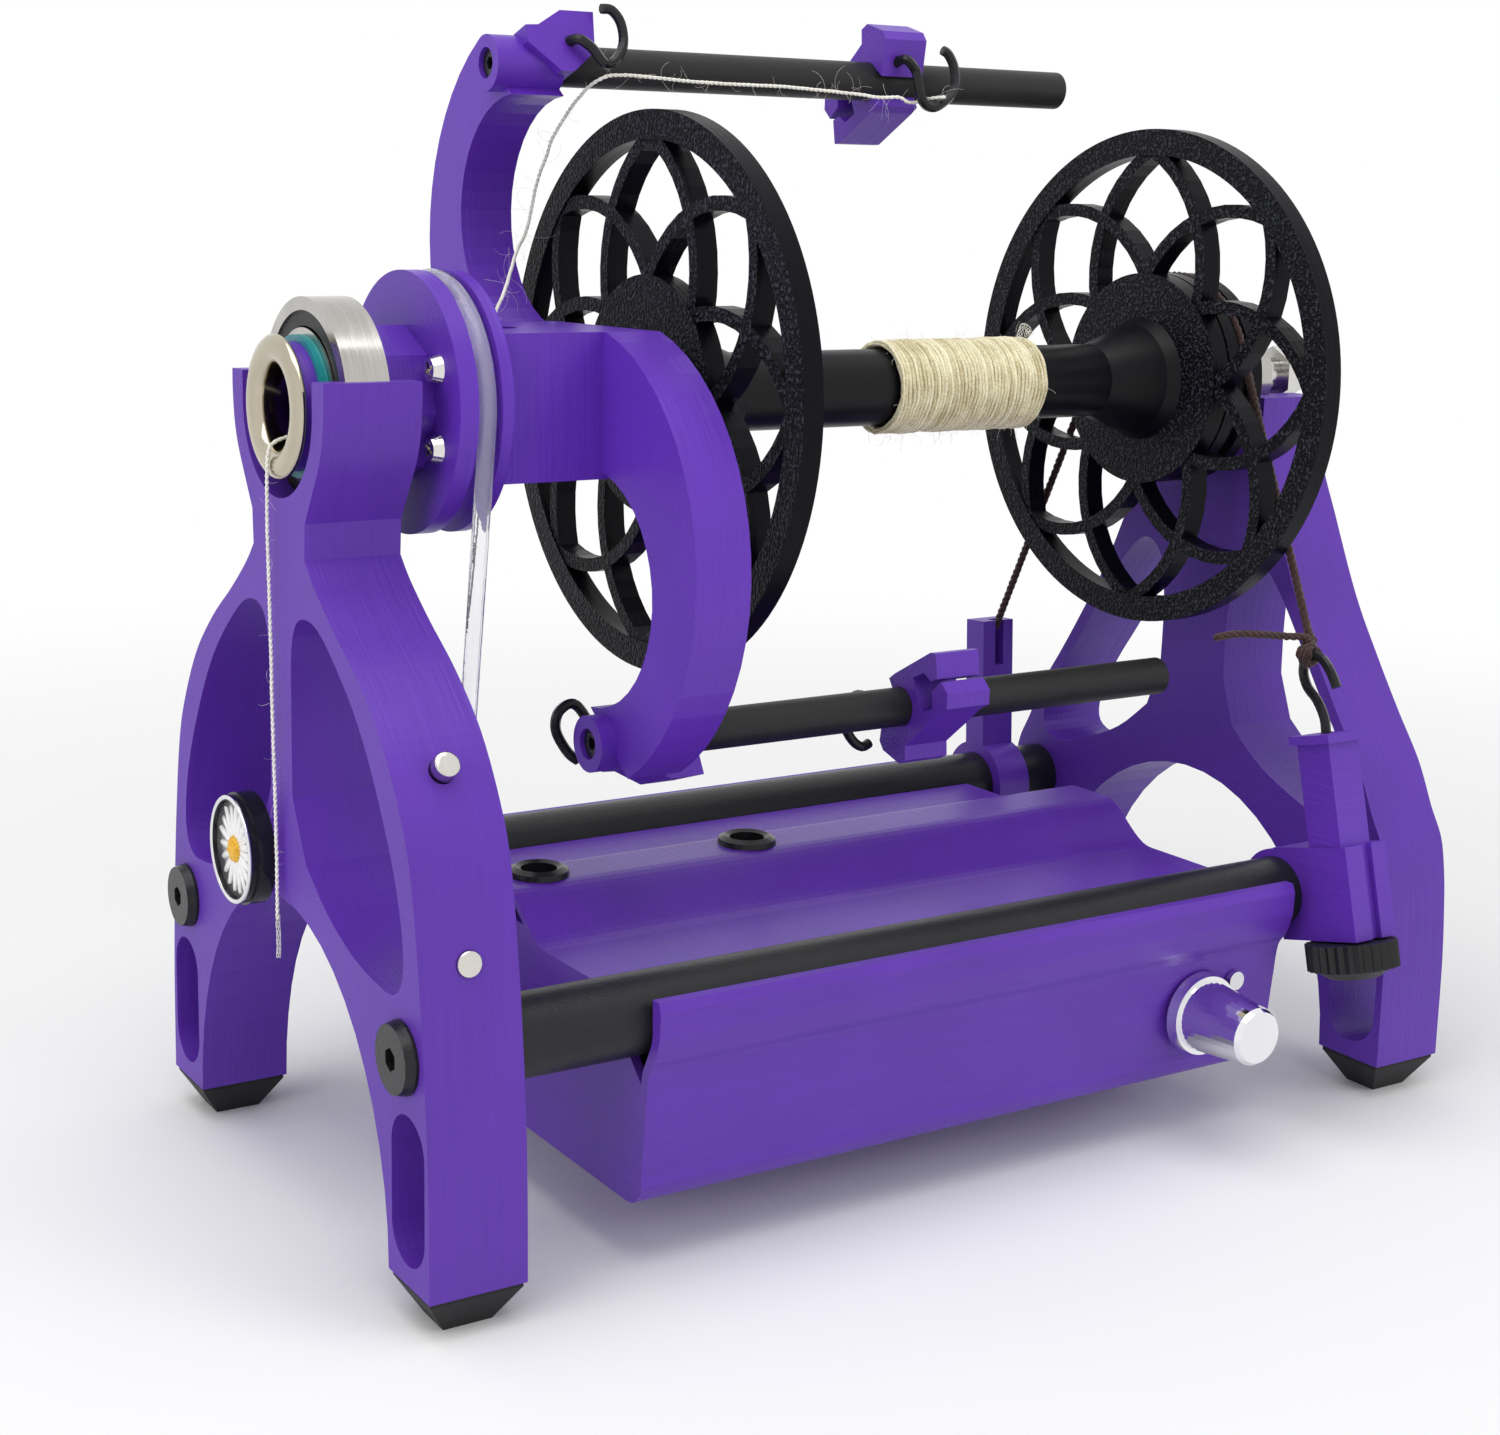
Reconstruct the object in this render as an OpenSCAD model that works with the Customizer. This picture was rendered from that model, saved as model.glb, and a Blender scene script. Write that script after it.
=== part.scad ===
// Electric yarn spinner: two end frames on two tubes, a motor box between the tubes,
// a belt-driven flyer with two arms, and a bobbin with a cord brake.
// X runs along the spindle from the orifice to the rear, Y across, Z up.
// The origin is the middle of the floor under the whole object.

/* [Stand] */
// Height of the spindle above the floor
axis_z = 164; // [160:1:170]
// Thickness of each end frame
frame_t = 20; // [16:1:24]
// Clear distance between the end frames
frame_gap = 224; // [220:1:226]
// Height of a rubber foot
foot_h = 8; // [6:1:10]
// Half the width over the legs at the bottom
leg_y = 67; // [65:1:70]
// Diameter of the two side tubes
tube_d = 16; // [14:0.5:18]
// Distance of each side tube from the middle plane
tube_y = 56; // [55:0.5:57]
// Height of the side tubes
tube_z = 51.5; // [51:0.5:54]

/* [Spindle] */
// Outer diameter of the big front bearing
bearing_od = 42; // [42:1:42]
// Bore of the big front bearing
bearing_id = 25; // [25:1:25]
// Width of the big front bearing
bearing_w = 9; // [9:1:9]
// Bore of the orifice
orifice_d = 16.4; // [14:0.2:17]
// Diameter of the steel spindle
spindle_d = 8; // [8:1:8]
// Distance from the spindle to each flyer rod
rod_r = 71.4; // [70:0.1:72]
// Angle of the flyer about the spindle as it stands
flyer_turn = 18.7; // [0:0.1:25]
// Diameter of a flyer rod
rod_d = 8.6; // [8:0.2:9]

/* [Bobbin] */
// Diameter of a bobbin flange
flange_d = 117; // [110:1:120]
// Thickness of a bobbin flange
flange_t = 4.6; // [4:0.2:5]
// Diameter of the bobbin core
core_d = 17; // [16:0.5:18]
// Turns of yarn in the outer layer
yarn_turns_count = 24; // [12:1:24]
// Thickness of the wound yarn
yarn_d = 1.2; // [1:0.1:1.2]

/* [Drive] */
// Height of the motor shaft
motor_z = 38; // [36:0.5:40]
// Thickness of the clear drive belt
belt_d = 4; // [3:0.5:4.5]
// Radius of the belt on the flyer pulley
belt_big_r = 24.5; // [23:0.5:25]
// Radius of the belt on the motor pulley
belt_small_r = 7.5; // [6:0.5:8]

/* [Box] */
// Left end of the motor box
box_x0 = 47.5; // [47:0.5:49]
// Right end of the motor box
box_x1 = 212.5; // [208:0.5:213]
// Place of the joint between the box halves
box_seam = 134; // [125:1:140]
// Underside of the motor box
box_z0 = 13.5; // [12:0.5:16]
// Top of the flat part of the lid
lid_z = 54; // [53:0.5:55]
// Height of the lid's hump above its flat part
hump_h = 9; // [8:0.5:10]
// Wall thickness of the box
wall = 2; // [1.6:0.2:2.4]

/* [Brake] */
// Tilt of the brake post about the near tube
brake_tilt = 14; // [0:1:18]
// Distance of the post from the tube's middle
post_u = 16; // [15.8:0.1:16.4]

/* [Hidden] */
$fn = 64;

purple = "#5a35b5";
black = "#17181a";
steel = "silver";
cream = "#efe6cf";
fit = 0.05;                             // radial clearance of seats and running fits
side_gap = 0.3;                         // clearance between parts that move past each other

// Places along X, measured from the front frame's outer face
rear_x = frame_t + frame_gap;           // rear frame's inner face
end_x = rear_x + frame_t;               // rear frame's outer face
tube_seat = 10;                         // depth of a tube's socket
bearing_x = 5.6;                        // front face of the big bearing
cover_x = 26.5;                         // front face of the pulley
belt_x = 33;                            // plane of the belt
hub_x = 38;                             // front face of the flyer hub
arm_x0 = 60;                            // front face of the arms
arm_x1 = 72.3;                          // rear face of the arms
rod_end = 210;                          // free end of the rods
flange_x0 = 82.2;                       // front face of the front flange
flange_x1 = 220.6;                      // front face of the rear flange
brake_x = 231;                          // groove of the brake pulley
spindle_end = 268;                      // rear end of the spindle
yarn_x0 = 142;                          // first turn of the outer layer
yarn_x1 = 184;                          // last turn of the outer layer

// The whole object's extents, which put the origin at the middle of its box
front_x = -6.2;                         // flower disc on the front frame
back_x = 271.6;                         // cap of the spindle nut
near_y = -85.5;                         // brake clamp's lug
far_y = 67.4;                           // cord anchor
mid_x = (front_x + back_x) / 2;
mid_y = (near_y + far_y) / 2;

// ---------- helpers ----------
module place() translate([-mid_x, -mid_y, 0]) children();
// a profile given as (y, z) and pushed along X
module along_x(x0, x1) translate([x0, 0, 0]) rotate([90, 0, 90]) linear_extrude(x1 - x0) children();
// a round bar along X
module bar(x0, x1, r, y = 0, z = 0, n = 64)
    translate([x0, y, z]) rotate([0, 90, 0]) cylinder(h = x1 - x0, r = r, $fn = n);
module ring(x0, x1, r_out, r_in) difference() {
    bar(x0, x1, r_out);
    bar(x0 - 1, x1 + 1, r_in);
}
module on_axis() translate([0, 0, axis_z]) children();
module flyer_frame() on_axis() rotate([-flyer_turn, 0, 0]) children();
module both_sides() for (s = [-1, 1]) scale_y(s) children();
module scale_y(s) if (s < 0) mirror([0, 1, 0]) children(); else children();

function mix(a, b, t) = a + (b - a) * t;
function arc_pts(c, r, a0, a1, n) = [for (i = [0:n]) let (a = mix(a0, a1, i / n)) c + r * [cos(a), sin(a)]];
// a smooth curve through hand-set points
function spline_point(a, b, c, d, t) =
    0.5 * (2 * b + (c - a) * t + (2 * a - 5 * b + 4 * c - d) * t * t + (3 * b - a - 3 * c + d) * t * t * t);
function spline(p, n) = [
    for (i = [0:len(p) - 2], k = [0:n - 1])
        spline_point(p[max(i - 1, 0)], p[i], p[i + 1], p[min(i + 2, len(p) - 1)], k / n),
    p[len(p) - 1]
];
function flip(p) = [for (i = [len(p) - 1:-1:0]) [-p[i][0], p[i][1]]];

// ---------- swept tubes ----------
function unit(v) = v / norm(v);
function tangent(p, i) = unit(p[min(i + 1, len(p) - 1)] - p[max(i - 1, 0)]);
function square_to(t, v) = unit(v - (v * t) * t);
function carry(p, i, v) = i == 0 ? [v] : let (prev = carry(p, i - 1, v))
    concat(prev, [square_to(tangent(p, i), prev[i - 1])]);
module sweep(p, r, sides) {
    n = len(p);
    first = square_to(tangent(p, 0), abs(tangent(p, 0) * [0, 0, 1]) > 0.9 ? [1, 0, 0] : [0, 0, 1]);
    sides_v = carry(p, n - 1, first);
    pts = [for (i = [0:n - 1], k = [0:sides - 1])
        let (t = tangent(p, i), u = sides_v[i], w = cross(t, u), a = 360 * k / sides)
        p[i] + (is_list(r) ? r[i] : r) * (cos(a) * u + sin(a) * w)];
    faces = concat(
        [for (i = [0:n - 2], k = [0:sides - 1])
            [i * sides + k, i * sides + (k + 1) % sides, (i + 1) * sides + k]],
        [for (i = [0:n - 2], k = [0:sides - 1])
            [i * sides + (k + 1) % sides, (i + 1) * sides + (k + 1) % sides, (i + 1) * sides + k]],
        [for (k = [1:sides - 2]) [0, k + 1, k]],
        [for (k = [1:sides - 2]) [(n - 1) * sides, (n - 1) * sides + k, (n - 1) * sides + k + 1]]);
    polyhedron(points = pts, faces = [for (f = faces) [f[0], f[2], f[1]]], convexity = 8);
}

// ---------- end frames ----------
leg_in = 49.5;                          // inner side of a leg at the bottom
arch_top = 66;                          // top of the arch between the legs
arch_steps = 24;
jaw_h = 6;                              // how far the front jaw stands above the axis
jaw_r = bearing_od / 2 + 2;             // half the width of the jaw's mouth
lip_r = 17.5;                           // opening in the jaw's two lips
neck_z = 136;                           // foot of the jaw

arch = [for (i = [0:arch_steps]) let (a = 180 - 180 * i / arch_steps)
    [leg_in * cos(a), foot_h + (arch_top - foot_h) * sin(a)]];
front_side = spline([[leg_y, foot_h], [66.5, 30], [65, 50], [62.5, 70], [59.5, 86], [55.5, 96],
    [47.5, 108], [37, 117.5], [26, 125], [17.5, 131.5], [13, neck_z]], 5);
jaw_side = spline([[13.4, 143], [17.4, 149.5], [20.6, 155], [22.3, 160], [23, 166],
    [jaw_r, axis_z + jaw_h]], 5);
front_outline = concat(front_side, jaw_side, flip(jaw_side), flip(front_side), arch);
front_window = concat(
    spline([[5.5, 88], [5.5, 104], [6, 118], [10, 124], [19, 123.5], [31, 115], [39, 107], [46, 97],
        [52.5, 85], [56, 74], [56, 66], [52, 62], [45, 62], [34, 64], [22, 69], [12, 76]], 4));
rear_side = spline([[leg_y, foot_h], [66.8, 30], [66, 44], [65.2, 52], [63.6, 60], [60, 67], [55.3, 77],
    [48, 88], [40.5, 100], [33, 113], [25, 131], [19, 146], [18.5, axis_z - 4]], 5);
rear_outline = concat(rear_side, flip(rear_side), arch);
rear_window = spline([[11, 90], [11, 106], [13, 118], [19, 122], [26, 116], [33, 106], [40.5, 94],
    [48, 83], [53.5, 72], [53.5, 65], [47, 62.5], [38, 65], [25, 71], [15, 79]], 4);
slot_y = 58;                            // middle of a foot slot
slot_r = 7;                             // half its width
slot_z = [19, 34];                      // middles of its round ends
magnet_r = 2.5;
magnet_t = 3;
magnet_proud = 0.8;
magnet_places = [[51.6, 102.5, 37], [62.6, 69.5, 8]];  // distance out, height, upward lean

module foot_slots() both_sides() along_x(-1, end_x + 1) polygon(concat(
    arc_pts([slot_y, slot_z[0]], slot_r, 180, 360, 16), arc_pts([slot_y, slot_z[1]], slot_r, 0, 180, 16)));
module tube_sockets(x_mouth, x_floor) for (s = [-1, 1])
    bar(min(x_mouth, x_floor), max(x_mouth, x_floor), tube_d / 2 + fit, s * tube_y, tube_z);
module bolt_holes(x0, x1) for (s = [-1, 1]) bar(x0, x1, bolt_r + fit, s * tube_y, tube_z);
module at_magnet(m) translate([frame_t / 2, -m[0], m[1]]) rotate([90 - m[2], 0, 0]) children();

module front_frame() color(purple) place() difference() {
    along_x(0, frame_t) polygon(front_outline);
    both_sides() along_x(-1, frame_t + 1) polygon(front_window);
    foot_slots();
    tube_sockets(frame_t + 1, frame_t - tube_seat);
    bolt_holes(-1, frame_t);
    on_axis() bar(-1, frame_t + 1, lip_r);
    translate([-1, -lip_r, axis_z]) cube([frame_t + 2, 2 * lip_r, 20]);
    on_axis() bar(bearing_x, bearing_x + bearing_w + 2 * fit, bearing_od / 2 + fit);
    for (m = magnet_places) at_magnet(m) translate([0, 0, magnet_proud - magnet_t])
        cylinder(h = magnet_t + 2, r = magnet_r + fit);
}

rear_seat_x = rear_x + 3;               // rear bearing's front face
rear_bearing_r = 11;
rear_bearing_w = 7;
module rear_frame() color(purple) place() difference() {
    along_x(rear_x, end_x) polygon(rear_outline);
    both_sides() along_x(rear_x - 1, end_x + 1) polygon(rear_window);
    foot_slots();
    tube_sockets(rear_x - 1, rear_x + tube_seat);
    bolt_holes(rear_x, end_x + 1);
    on_axis() bar(rear_x - 1, end_x + 1, 9);
    on_axis() bar(rear_seat_x - fit, rear_seat_x + rear_bearing_w + fit, rear_bearing_r + fit);
}

foot_top = [19, 16];
foot_low = [10, 8];
foot_y = (leg_y + leg_in) / 2;
module rubber_feet() color(black) place() for (x = [frame_t / 2, rear_x + frame_t / 2], s = [-1, 1])
    translate([x, s * foot_y, 0]) hull() {
        translate([-foot_low[0] / 2, -foot_low[1] / 2, 0]) cube([foot_low[0], foot_low[1], 1]);
        translate([-foot_top[0] / 2, -foot_top[1] / 2, foot_h - 1]) cube([foot_top[0], foot_top[1], 1]);
    }
module holding_magnets() color(steel) place() for (m = magnet_places)
    at_magnet(m) translate([0, 0, magnet_proud - magnet_t]) cylinder(h = magnet_t, r = magnet_r);

// ---------- side tubes and their bolts ----------
tube_wall = 1.5;
plug_len = 16;
bolt_r = 3;
head_r = 7;
head_t = 2.5;
head_hex = 2.3;                         // corner radius of the hexagon socket
module side_tube(s) difference() {
    bar(frame_t - tube_seat, rear_x + tube_seat, tube_d / 2, s * tube_y, tube_z);
    bar(frame_t - tube_seat - 1, rear_x + tube_seat + 1, tube_d / 2 - tube_wall, s * tube_y, tube_z);
}
module side_tubes() color(black) place() for (s = [-1, 1]) side_tube(s);
plug_x = [frame_t - tube_seat, rear_x + tube_seat - plug_len];
module tube_plugs() color(steel) place() for (x = plug_x, s = [-1, 1]) difference() {
    bar(x, x + plug_len, tube_d / 2 - tube_wall - fit / 2, s * tube_y, tube_z);
    bar(x - 1, x + plug_len + 1, bolt_r + fit / 2, s * tube_y, tube_z);
}
module tube_bolt() difference() {
    union() {
        translate([-head_t, 0, 0]) rotate([0, 90, 0]) cylinder(h = head_t - 0.6, r1 = head_r - 0.5,
        r2 = head_r);
        bar(-0.6, 0, head_r);
        bar(-0.6, frame_t - tube_seat + plug_len - 2, bolt_r);
    }
    translate([-head_t - 1, 0, 0]) rotate([0, 90, 0]) cylinder(h = 2.6, r = head_hex, $fn = 6);
}
module tube_bolts() color(black) place() for (s = [-1, 1]) {
    translate([0, s * tube_y, tube_z]) tube_bolt();
    translate([end_x, s * tube_y, tube_z]) rotate([0, 0, 180]) tube_bolt();
}

// ---------- motor box ----------
tray_out = concat([[66.6, 57], [67.4, 55]], spline([[67.2, 50], [65.8, 45.5], [63.6, 42], [62.8, 36]], 4),
    [[61.2, 20]], arc_pts([56, 19], 5.5, -5, -90, 6));
tray_in = concat([[64.4, 57], [64.6, 50]], spline([[64.2, 48], [62.6, 44.5], [61, 41], [60.6, 36]], 4),
    [[59.2, 20]], arc_pts([56, 19], 3.5, -5, -90, 6));
function reverse(p) = [for (i = [len(p) - 1:-1:0]) p[i]];
tray_skin = concat(tray_out, flip(tray_out), reverse(flip(tray_in)), reverse(tray_in));
tray_full = concat(tray_out, flip(tray_out));
lid_half = 47.4;                        // half the lid's width, inside the tubes
lid_steps = 16;
hump_foot = 22;                         // half the hump's width at its foot
hump_crest = 5;                         // half the width of its flat crest
function hump(y) = let (t = (abs(y) - hump_crest) / (hump_foot - hump_crest))
    t <= 0 ? hump_h : t >= 1 ? 0 : hump_h * (1 + cos(180 * t)) / 2;
hump_line = [for (i = [-lid_steps:lid_steps]) let (y = hump_foot * i / lid_steps) [y, hump(y)]];
lid_top = [for (p = concat([[-lid_half, 0]], hump_line, [[lid_half, 0]])) [p[0], lid_z + p[1]]];
lid_skin = concat(lid_top, [for (p = reverse(lid_top)) [p[0], p[1] - wall]]);
tube_room = tube_d / 2 + side_gap;
grommet_x = [58, 111];
grommet_hole = 5.2;
knob_x = 189;
knob_z = 30;
lamp_x = 199.4;
lamp_z = 35.8;
jack_x = 190;
jack_z = 32;
board_x = [140, 186];
board_y = [-28, 24];
board_z = 20;

module tray_end(x0) difference() {
    along_x(x0, x0 + wall) intersection() {
        polygon(tray_full);
        polygon(concat([[-100, 0]], [for (p = lid_top) [p[0], p[1] - wall]], [[100, 0]]));
    }
    for (s = [-1, 1]) bar(x0 - 1, x0 + wall + 1, tube_room, s * tube_y, tube_z);
}
module tray_left() color(purple) place() difference() {
    union() {
        along_x(box_x0, box_seam) polygon(tray_skin);
        tray_end(box_x0);
    }
    bar(box_x0 - 1, box_x0 + wall + 1, motor_boss_r + fit, 0, motor_z);
    for (s = [-1, 1]) bar(box_x0 - 1, box_x0 + wall + 1, motor_screw_r + fit, s * motor_screw_y, motor_z);
}
module tray_right() color(purple) place() difference() {
    union() {
        along_x(box_seam, box_x1) polygon(tray_skin);
        tray_end(box_x1 - wall);
        for (x = [board_x[0] + 4, board_x[1] - 4], y = [board_y[0] + 4, board_y[1] - 4])
            translate([x, y, box_z0 + 1]) cylinder(h = board_z - box_z0 - 1, r = 2.5);
    }
    translate([knob_x, 0, knob_z]) rotate([90, 0, 0]) cylinder(h = 80, r = 3.5 + fit);
    translate([lamp_x, 0, lamp_z]) rotate([90, 0, 0]) cylinder(h = 80, r = lamp_r + fit);
    translate([jack_x, 0, jack_z]) rotate([-90, 0, 0]) cylinder(h = 80, r = jack_r + fit);
}
module lid_part(x0, x1) along_x(x0, x1) polygon(lid_skin);
module lid_left() color(purple) place() difference() {
    lid_part(box_x0, box_seam);
    for (x = grommet_x) translate([x, 0, lid_z]) cylinder(h = 20, r = grommet_hole);
}
module lid_right() color(purple) place() lid_part(box_seam, box_x1);
module lid_grommets() color(black) place() for (x = grommet_x) translate([x, 0, lid_z + hump_h - wall / 2])
    rotate_extrude() polygon([[3.7, -1.8], [5, -2.7], [6.4, -2], [6.4, -wall / 2 - 0.3],
        [grommet_hole - fit, -wall / 2 - 0.3],
        [grommet_hole - fit, wall / 2], [6.6, wall / 2], [6.4, 2.2], [5, 2.9], [3.9, 2.4]]);

// ---------- motor and belt ----------
motor_r = 17.9;
motor_len = 57;
motor_boss_r = 6.5;
motor_screw_r = 1.5;
motor_screw_y = 12.5;
motor_x = box_x0 + wall;
module motor() color("dimgray") place() translate([0, 0, motor_z]) difference() {
    union() {
        bar(motor_x, motor_x + motor_len, motor_r);
        bar(motor_x - 2.5, motor_x, motor_boss_r);
        bar(motor_x + motor_len, motor_x + motor_len + 5, 7);
    }
    bar(motor_x - 3, motor_x + 10, motor_shaft_r + fit);
    for (s = [-1, 1]) bar(motor_x - 1, motor_x + 5, motor_screw_r + fit, s * motor_screw_y);
}
motor_shaft_r = 1.6;
module motor_shaft() color(steel) place() bar(belt_x - 7, motor_x + 9, motor_shaft_r, 0, motor_z);
module groove(x, r, section) translate([x, 0, 0]) rotate([0, 90, 0]) rotate_extrude() translate([r, 0])
    circle(r = section);
groove_r = belt_d / 2 + side_gap;
// a belt groove whose mouth opens a little towards the rim
module belt_groove(r, rim) {
    groove(belt_x, r, groove_r);
    translate([belt_x, 0, 0]) rotate([0, 90, 0]) rotate_extrude()
        polygon([[r, -groove_r], [rim + 1, -groove_r - 0.4], [rim + 1, groove_r + 0.4], [r, groove_r]]);
}
module motor_pulley() color(black) place() translate([0, 0, motor_z]) difference() {
    union() {
        bar(belt_x - 4.5, belt_x + 4.5, belt_small_r + 1.5);
        bar(belt_x + 4, belt_x + 8, 5);
    }
    belt_groove(belt_small_r, belt_small_r + 1.5);
    bar(belt_x - 6, belt_x + 9, motor_shaft_r + fit / 2);
}
module motor_screws() color(steel) place() for (s = [-1, 1]) translate([0, s * motor_screw_y, motor_z]) {
    bar(box_x0 - 1.6, box_x0, 2.8);
    bar(box_x0 - 1, box_x0 + wall + 4, motor_screw_r);
}
belt_fall = axis_z - motor_z;
belt_lean = asin((belt_big_r - belt_small_r) / belt_fall);
// the belt's loop seen along X, offset inwards or outwards by d from its middle line
function belt_loop(d) = concat(
    [for (p = arc_pts([0, axis_z], belt_big_r + d, -belt_lean, 180 + belt_lean, 40)) p],
    [for (p = arc_pts([0, motor_z], belt_small_r + d, 180 + belt_lean, 360 - belt_lean, 24)) p]);
module belt_band(width, thick) along_x(belt_x - width / 2, belt_x + width / 2) difference() {
    polygon(belt_loop(thick / 2));
    polygon(belt_loop(-thick / 2));
}
module drive_belt() color("lightgray", 0.5) place() {
    belt_band(belt_d * 0.9, belt_d * 0.42);
    belt_band(belt_d * 0.7, belt_d * 0.7);
    belt_band(belt_d * 0.42, belt_d * 0.9);
}

// ---------- electrics ----------
lamp_r = 1.5;
jack_r = 4;
module control_board() color("darkgreen") place() {
    translate([board_x[0], board_y[0], board_z]) cube([board_x[1] - board_x[0],
        board_y[1] - board_y[0], 1.6]);
    translate([board_x[0] + 8, board_y[0] + 8, board_z + 1.6]) cube([14, 12, 9]);
    translate([board_x[1] - 14, board_y[1] - 12, board_z + 1.6]) cylinder(h = 11, r = 5);
}
module power_jack() color(black) place() translate([jack_x, 0, jack_z]) rotate([-90, 0, 0]) difference() {
    union() {
        translate([0, 0, 50]) cylinder(h = 11, r = jack_r);
        translate([-5.5, -5.5, 48]) cube([11, 11, 10]);
        translate([0, 0, 63.3]) cylinder(h = 1.4, r = 6);
        translate([0, 0, 58]) cylinder(h = 6, r = jack_r);
    }
    translate([0, 0, 52]) difference() {
        cylinder(h = 20, r = 2.8);
        cylinder(h = 9, r = 1);
    }
}
wall_y = 62;                            // outer face of the box's near wall at the knob
module speed_control() color("dimgray") place() translate([knob_x, 0, knob_z]) rotate([90, 0, 0]) {
    translate([0, 0, wall_y - wall - 10]) cylinder(h = 9, r = 8);
    translate([0, 0, wall_y - wall - 1]) cylinder(h = 4, r = 3.5);
    translate([0, 0, wall_y]) cylinder(h = 10, r = 3);
}
knob_len = 18;
flutes = 18;
module speed_knob() color(steel) place() translate([knob_x, -wall_y - 1.7, knob_z]) rotate([90, 0, 0])
    difference() {
    union() {
        cylinder(h = 2.4, r1 = 9.4, r2 = 8.9);
        translate([0, 0, 2.4]) linear_extrude(knob_len - 3.4, scale = 0.8) circle(r = 8, $fn = flutes * 2);
        translate([0, 0, knob_len - 1]) cylinder(h = 1, r1 = 6.3, r2 = 5.7);
    }
    translate([0, 0, -1]) cylinder(h = 11, r = 3 + side_gap);
}
module indicator_lamp() color(steel) place() translate([lamp_x, 0, lamp_z]) rotate([90, 0, 0]) {
    translate([0, 0, wall_y - 4]) cylinder(h = 6.2, r = lamp_r);
    translate([0, 0, wall_y + 1.2]) cylinder(h = 1.3, r = 2.1);
}

// ---------- front bearing, orifice and pulley ----------
ring_wall = 2.6;
tube_r = bearing_id / 2 - fit;          // orifice tube
ball_r = 2.5;
ball_pitch = (bearing_od + bearing_id) / 4;
module bearing_outer_ring() color(steel) place() on_axis() difference() {
    ring(bearing_x + fit, bearing_x + fit + bearing_w, bearing_od / 2, bearing_od / 2 - ring_wall);
    groove(bearing_x + fit + bearing_w / 2, ball_pitch, ball_r + fit);
}
module bearing_seals() color(black) place() on_axis() for (x = [bearing_x + 0.5,
    bearing_x + bearing_w - 1.4])
    ring(x, x + 1, bearing_od / 2 - ring_wall, bearing_id / 2 + ring_wall + side_gap);
module bearing_inner_ring() color(steel) place() on_axis() difference() {
    ring(bearing_x + fit, bearing_x + fit + bearing_w, bearing_id / 2 + ring_wall, bearing_id / 2);
    groove(bearing_x + fit + bearing_w / 2, ball_pitch, ball_r + fit);
}
module teal_ring() color("teal") place() on_axis() ring(bearing_x - 1.7, bearing_x, 13.8, tube_r + fit);
module orifice_tube() color(purple) place() on_axis() ring(0.6, cover_x, tube_r, orifice_d / 2 + 1);
module orifice_ferrule() color("#b9b39f") place() on_axis() translate([-1, 0, 0]) rotate([0, 90, 0])
    rotate_extrude()
    polygon([[orifice_d / 2, 0.9], [orifice_d / 2 + 0.9, 0], [13.6, 0], [14, 0.4], [14, 1.3], [13.6, 1.6],
        [orifice_d / 2 + 1, 1.6], [orifice_d / 2 + 1, 14], [orifice_d / 2, 14]]);
collar_r = 14.6;
module shaft_collar() color(purple) place() flyer_frame() difference() {
    translate([bearing_x + bearing_w + 0.6, 0, 0]) rotate([0, 90, 0]) rotate([0, 0, 22.5])
        cylinder(h = cover_x - bearing_x - bearing_w - 0.6, r = collar_r + 0.8, $fn = 8);
    bar(bearing_x, cover_x + 1, tube_r + fit);
}
cover_t = 2.6;
pulley_r = 26;
screw_r = 1.5;
screw_pcd_r = 18;
screw_turns = [-25, 25, 155, 205];      // two on each side, seen from the front
module at_screws() on_axis() for (a = screw_turns) rotate([a, 0, 0]) translate([0, -screw_pcd_r, 0])
    children();
module pulley_cover() color(purple) place() difference() {
    on_axis() ring(cover_x, cover_x + cover_t, pulley_r, tube_r + fit - 1);
    at_screws() bar(cover_x - 1, cover_x + cover_t + 1, screw_r + fit);
}
module drive_pulley() color(purple) place() difference() {
    on_axis() difference() {
        ring(cover_x + cover_t, hub_x, pulley_r, orifice_d / 2 + 1);
        belt_groove(belt_big_r, pulley_r);
    }
    at_screws() bar(cover_x, hub_x + 1, screw_r + fit);
}
module pulley_screws() color(steel) place() at_screws() difference() {
    union() {
        translate([cover_x - 2, 0, 0]) rotate([0, 90, 0]) cylinder(h = 2, r1 = 2.2, r2 = 2.9);
        bar(cover_x - 0.5, hub_x + 7, screw_r);
    }
    for (a = [0, 90]) rotate([a, 0, 0]) translate([cover_x - 2.2, -1.6, -0.35]) cube([1.2, 3.2, 0.7]);
}

// ---------- flyer ----------
hub_y = 21;
hub_z = 14.5;
boss_r = 5.8;
boss_x0 = 56.5;
boss_hole_r = 3.2;
rod_seat_x = 64;
hub_bore_end = 56;
arm_outer_c = [-9.1, -31.5];            // middle of the lower arm's outer curve, as (y, z)
arm_outer_r = 47.9;
arm_inner_c = [-17, -37];               // middle of its inner curve
arm_inner_r = 24.3;
arm_outer = arc_pts(arm_outer_c, arm_outer_r, 240, 106, 20);
arm_inner = arc_pts(arm_inner_c, arm_inner_r, 76, 268, 20);
arm_root = [[-hub_y, hub_z], [-hub_y + 6, hub_z], [-hub_y + 6, -hub_z + 1]];
arm_profile = concat(arm_outer, arm_root, arm_inner);
// the block that holds the fixed hook at the end of each arm, seen along Y from the rod's axis
end_block = [[63, 2], [63, 5.6], [66, 5.8], [71.6, 9.2], [79.6, 9.2], [78.6, 0.5], [73, -4], [70, -4]];
block_y = [-7.5, 5];
hook_wire = 2.2;
hook_seat = -4.6;                       // inner end of a hook's shank
upper_hook_at = [73, 2.5];              // place of the upper fixed hook's shank along X and outwards
lower_hook_at = [65.5, 2.5];

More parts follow.
